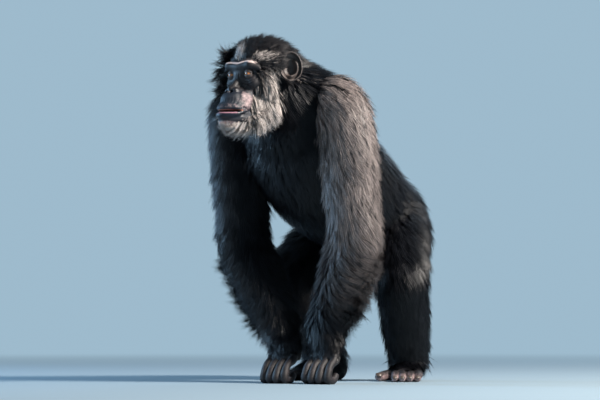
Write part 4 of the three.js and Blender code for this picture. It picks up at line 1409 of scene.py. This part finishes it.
class CHIMP_OT_coat(bpy.types.Operator):
    """Grows the coat over the skin, one piece for each part of the body"""

    bl_idname = "chimp.coat"
    bl_label = "Coat"

    def execute(self, context):
        coat = settings("coat")
        source = bpy.data.objects["skin"].data.copy()
        self.prepare(source)
        tuft = bpy.data.objects.new("tuft", tuft_mesh())
        finish = hair_material(coat)
        group = coat_tree(finish)
        sockets = {s.name: s.identifier for s in group.interface.items_tree if s.in_out == "INPUT"}
        for number, name in enumerate(ZONES):
            item = bpy.data.objects.new(name, source)
            context.scene.collection.objects.link(item)
            modifier = item.modifiers.new("Coat", "NODES")
            modifier.node_group = group
            values = {
                "Tuft": tuft,
                "Zone": number,
                "Tufts per square metre": coat.tufts,
                "Tuft width": coat.tuft_width,
                "Length": coat.length_scale,
                "Sway": coat.sway,
                "Seed": coat.seed + number,
            }
            for key, value in values.items():
                modifier[sockets[key]] = value
            evaluated = item.evaluated_get(context.evaluated_depsgraph_get())
            mesh = bpy.data.meshes.new_from_object(evaluated)
            item.modifiers.clear()
            item.data = mesh
            mesh.name = name
            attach(item, "root")
        return {"FINISHED"}

    def prepare(self, mesh):
        """Stores the lie of the coat and its sizes on a copy of the skin."""
        points, normals = vertex_data(mesh)
        lie, length, depth, density, nearest = coat_zones(points, normals)
        fine = np.array(FINENESS)[nearest]
        # No tuft grows on the closed sides of the patches, which lie inside the body
        density = density * (np.abs(body_distance(points)) < SKIN_DEPTH) / fine**1.1
        tip = points + lie * length[:, None]
        fall = np.clip(body_distance(tip), -0.35 * length, 0.6 * length)
        store(mesh, "lie", "FLOAT_VECTOR", "POINT", lie)
        values = {
            "length": length / 1000,
            "depth": depth / 1000,
            "fall": fall / 1000,
            "density": density,
            "tone": coat_tone(points, nearest),
            "fine": fine,
            # Sun-bleached hair and painted sunlit sheen
            "sun": coat_bleach_and_sheen(points, nearest),
        }
        for name, value in values.items():
            store(mesh, name, "FLOAT", "POINT", value)
        corners = np.empty(len(mesh.loops), int)
        mesh.loops.foreach_get("vertex_index", corners)
        first = corners[::4]
        middle = points[corners.reshape(-1, 4)].mean(1)
        part = nearest[first]
        place = np.repeat(unwrap(middle, part), 4, axis=0)
        store(mesh, "place", "FLOAT_VECTOR", "CORNER", np.column_stack([place, np.zeros(len(place))]))
        back = np.where(middle[:, 0] > 0, BACK_LEFT, BACK_RIGHT)
        trunk = np.where(normals[first, 2] < BELLY_FACING, BELLY, back)
        head = np.where(in_head(middle)[:, 2] > CROWN_HEIGHT, CROWN, BEARD)
        limb = part - FIRST_LIMB_PART + len(TRUNK_ZONES)
        zone = np.choose(np.minimum(part, FIRST_LIMB_PART), [trunk, NAPE, head, limb])
        store(mesh, "zone", "INT", "FACE", zone.astype(np.int32))


# The camera's target in plan millimetres and its rise in degrees, as in the photograph
CAMERA_TARGET = (-78.4, -51.0, 479.7)
CAMERA_ELEVATION = -3
SENSOR_WIDTH = 36

# Lamps: name, place in metres, power, size and colour, and what they aim at
LAMPS = [
    ("key", (3.1, 0.1, 3.0), 420, 0.7, (1.0, 0.93, 0.85)),
    ("fill", (-2.2, -3.4, 1.6), 26, 0.9, (0.7, 0.85, 1.0)),
    ("rim", (-3.1, -0.9, 1.4), 95, 1.0, (0.4, 0.68, 1.0)),
    ("back", (-0.8, 3.6, 2.6), 36, 1.4, (0.6, 0.8, 1.0)),
]
LAMP_TARGET = (0, 0, 0.55)

# Floor and backdrop: the floor's rings and fade, the dome's radius and drop, and the sides of both
FLOOR_RINGS = (0.5, 1.5, 3, 6, 12, 20)
FADE_START = 1.2
FADE_RATE = 0.24
DOME_RADIUS = 18
DOME_DROP = 0.5
DISC_SIDES = 96


class CHIMP_OT_stage(bpy.types.Operator):
    """Sets the floor, the light and the camera"""

    bl_idname = "chimp.stage"
    bl_label = "Stage"

    def execute(self, context):
        stage = settings("stage")
        target = Vector(to_frame(CAMERA_TARGET))
        rise = math.radians(CAMERA_ELEVATION)
        flat = math.cos(rise)
        way = Vector((math.sin(stage.azimuth) * flat, -math.cos(stage.azimuth) * flat, math.sin(rise)))
        lens = bpy.data.cameras.new("camera")
        lens.lens = stage.focal
        lens.sensor_width = SENSOR_WIDTH
        camera = bpy.data.objects.new("camera", lens)
        camera.location = target + way * stage.distance
        camera.rotation_euler = (-way).to_track_quat("-Z", "Y").to_euler()
        context.scene.collection.objects.link(camera)
        context.scene.camera = camera
        self.backdrop(stage)
        for name, offset, power, extent, colour in LAMPS:
            data = bpy.data.lights.new(name, "AREA")
            data.energy = power
            data.size = extent
            data.color = colour
            lamp = bpy.data.objects.new(name, data)
            lamp.location = Vector(offset)
            aim = Vector(LAMP_TARGET) - lamp.location
            lamp.rotation_euler = aim.to_track_quat("-Z", "Y").to_euler()
            context.scene.collection.objects.link(lamp)
        world = bpy.data.worlds.new("studio")
        world.use_nodes = True
        background = world.node_tree.nodes["Background"]
        background.inputs["Color"].default_value = rgba(stage.backdrop)
        background.inputs["Strength"].default_value = stage.ambient
        context.scene.world = world
        context.scene.view_settings.view_transform = "Standard"
        return {"FINISHED"}

    def backdrop(self, stage):
        """A wide floor that fades into the backdrop's colour far behind."""
        item, tree, shader = material("floor")
        tree.fill(shader, {"Base Color": rgba(stage.floor), "Roughness": 0.85})
        x, y, _ = tree.parts(tree.place())
        far = (((x * x + y * y) ** 0.5 - FADE_START) * FADE_RATE).clamped()
        share = far * far * (3.0 - 2.0 * far)
        inputs = {0: share, 1: Value(tree, shader.outputs[0]), 2: self.glow(tree, stage)}
        both = tree.node("ShaderNodeMixShader", None, inputs)
        tree.fill(tree.tree.nodes["Material Output"], {"Surface": both})
        self.disc("floor", [(r, 0) for r in FLOOR_RINGS], item)
        wall, tree, _ = material("backdrop")
        tree.fill(tree.tree.nodes["Material Output"], {"Surface": self.glow(tree, stage)})
        arch = np.linspace(0, np.pi / 2, 13)[1:]
        rings = [(DOME_RADIUS * math.sin(t), DOME_RADIUS * math.cos(t) - DOME_DROP) for t in arch]
        dome = self.disc("backdrop", rings, wall, DOME_RADIUS - DOME_DROP)
        # The backdrop is only looked at. It lights nothing.
        dome.visible_diffuse = False
        dome.visible_glossy = False
        dome.visible_shadow = False

    def glow(self, tree, stage):
        return tree.node("ShaderNodeEmission", None, {"Color": rgba(stage.backdrop), "Strength": stage.glow})

    def disc(self, name, rings, finish, middle=0.0):
        """A round sheet from its middle out through rings of (radius, height)."""
        angles = turns(DISC_SIDES)
        points = [(0, 0, middle)] + [(r * math.cos(a), r * math.sin(a), z) for r, z in rings for a in angles]
        mesh = bpy.data.meshes.new(name)
        mesh.from_pydata(points, [], ring_faces(DISC_SIDES, len(rings), closed=False))
        mesh.materials.append(finish)
        item = bpy.data.objects.new(name, mesh)
        bpy.context.scene.collection.objects.link(item)
        return item


class CHIMP_PT_panel(bpy.types.Panel):
    """Lists the sizes and colours, and a button for each piece"""

    bl_idname = "CHIMP_PT_panel"
    bl_label = "Chimpanzee"
    bl_space_type = "VIEW_3D"
    bl_region_type = "UI"
    bl_category = "Chimpanzee"

    def draw(self, context):
        for name in GROUPS:
            box = self.layout.box()
            group = settings(name)
            for key in group.__annotations__:
                box.prop(group, key)
        for operator in OPERATORS:
            self.layout.operator(operator.bl_idname)


GROUPS = {"coat": CoatSettings, "skin": SkinSettings, "eyes": EyeSettings, "stage": StageSettings}
OPERATORS = [CHIMP_OT_stage, CHIMP_OT_skin, CHIMP_OT_ears, CHIMP_OT_eyes, CHIMP_OT_nails, CHIMP_OT_coat]


def register():
    for item in [*GROUPS.values(), *OPERATORS, CHIMP_PT_panel]:
        bpy.utils.register_class(item)
    for name, group in GROUPS.items():
        setattr(bpy.types.Scene, "chimp_" + name, bpy.props.PointerProperty(type=group))


def unregister():
    for name in GROUPS:
        delattr(bpy.types.Scene, "chimp_" + name)
    for item in reversed([*GROUPS.values(), *OPERATORS, CHIMP_PT_panel]):
        bpy.utils.unregister_class(item)


def main():
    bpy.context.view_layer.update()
    register()
    bpy.ops.chimp.stage()
    bpy.ops.chimp.skin()
    bpy.ops.chimp.ears()
    bpy.ops.chimp.eyes()
    bpy.ops.chimp.nails()
    bpy.ops.chimp.coat()


if __name__ == "__main__":
    main()
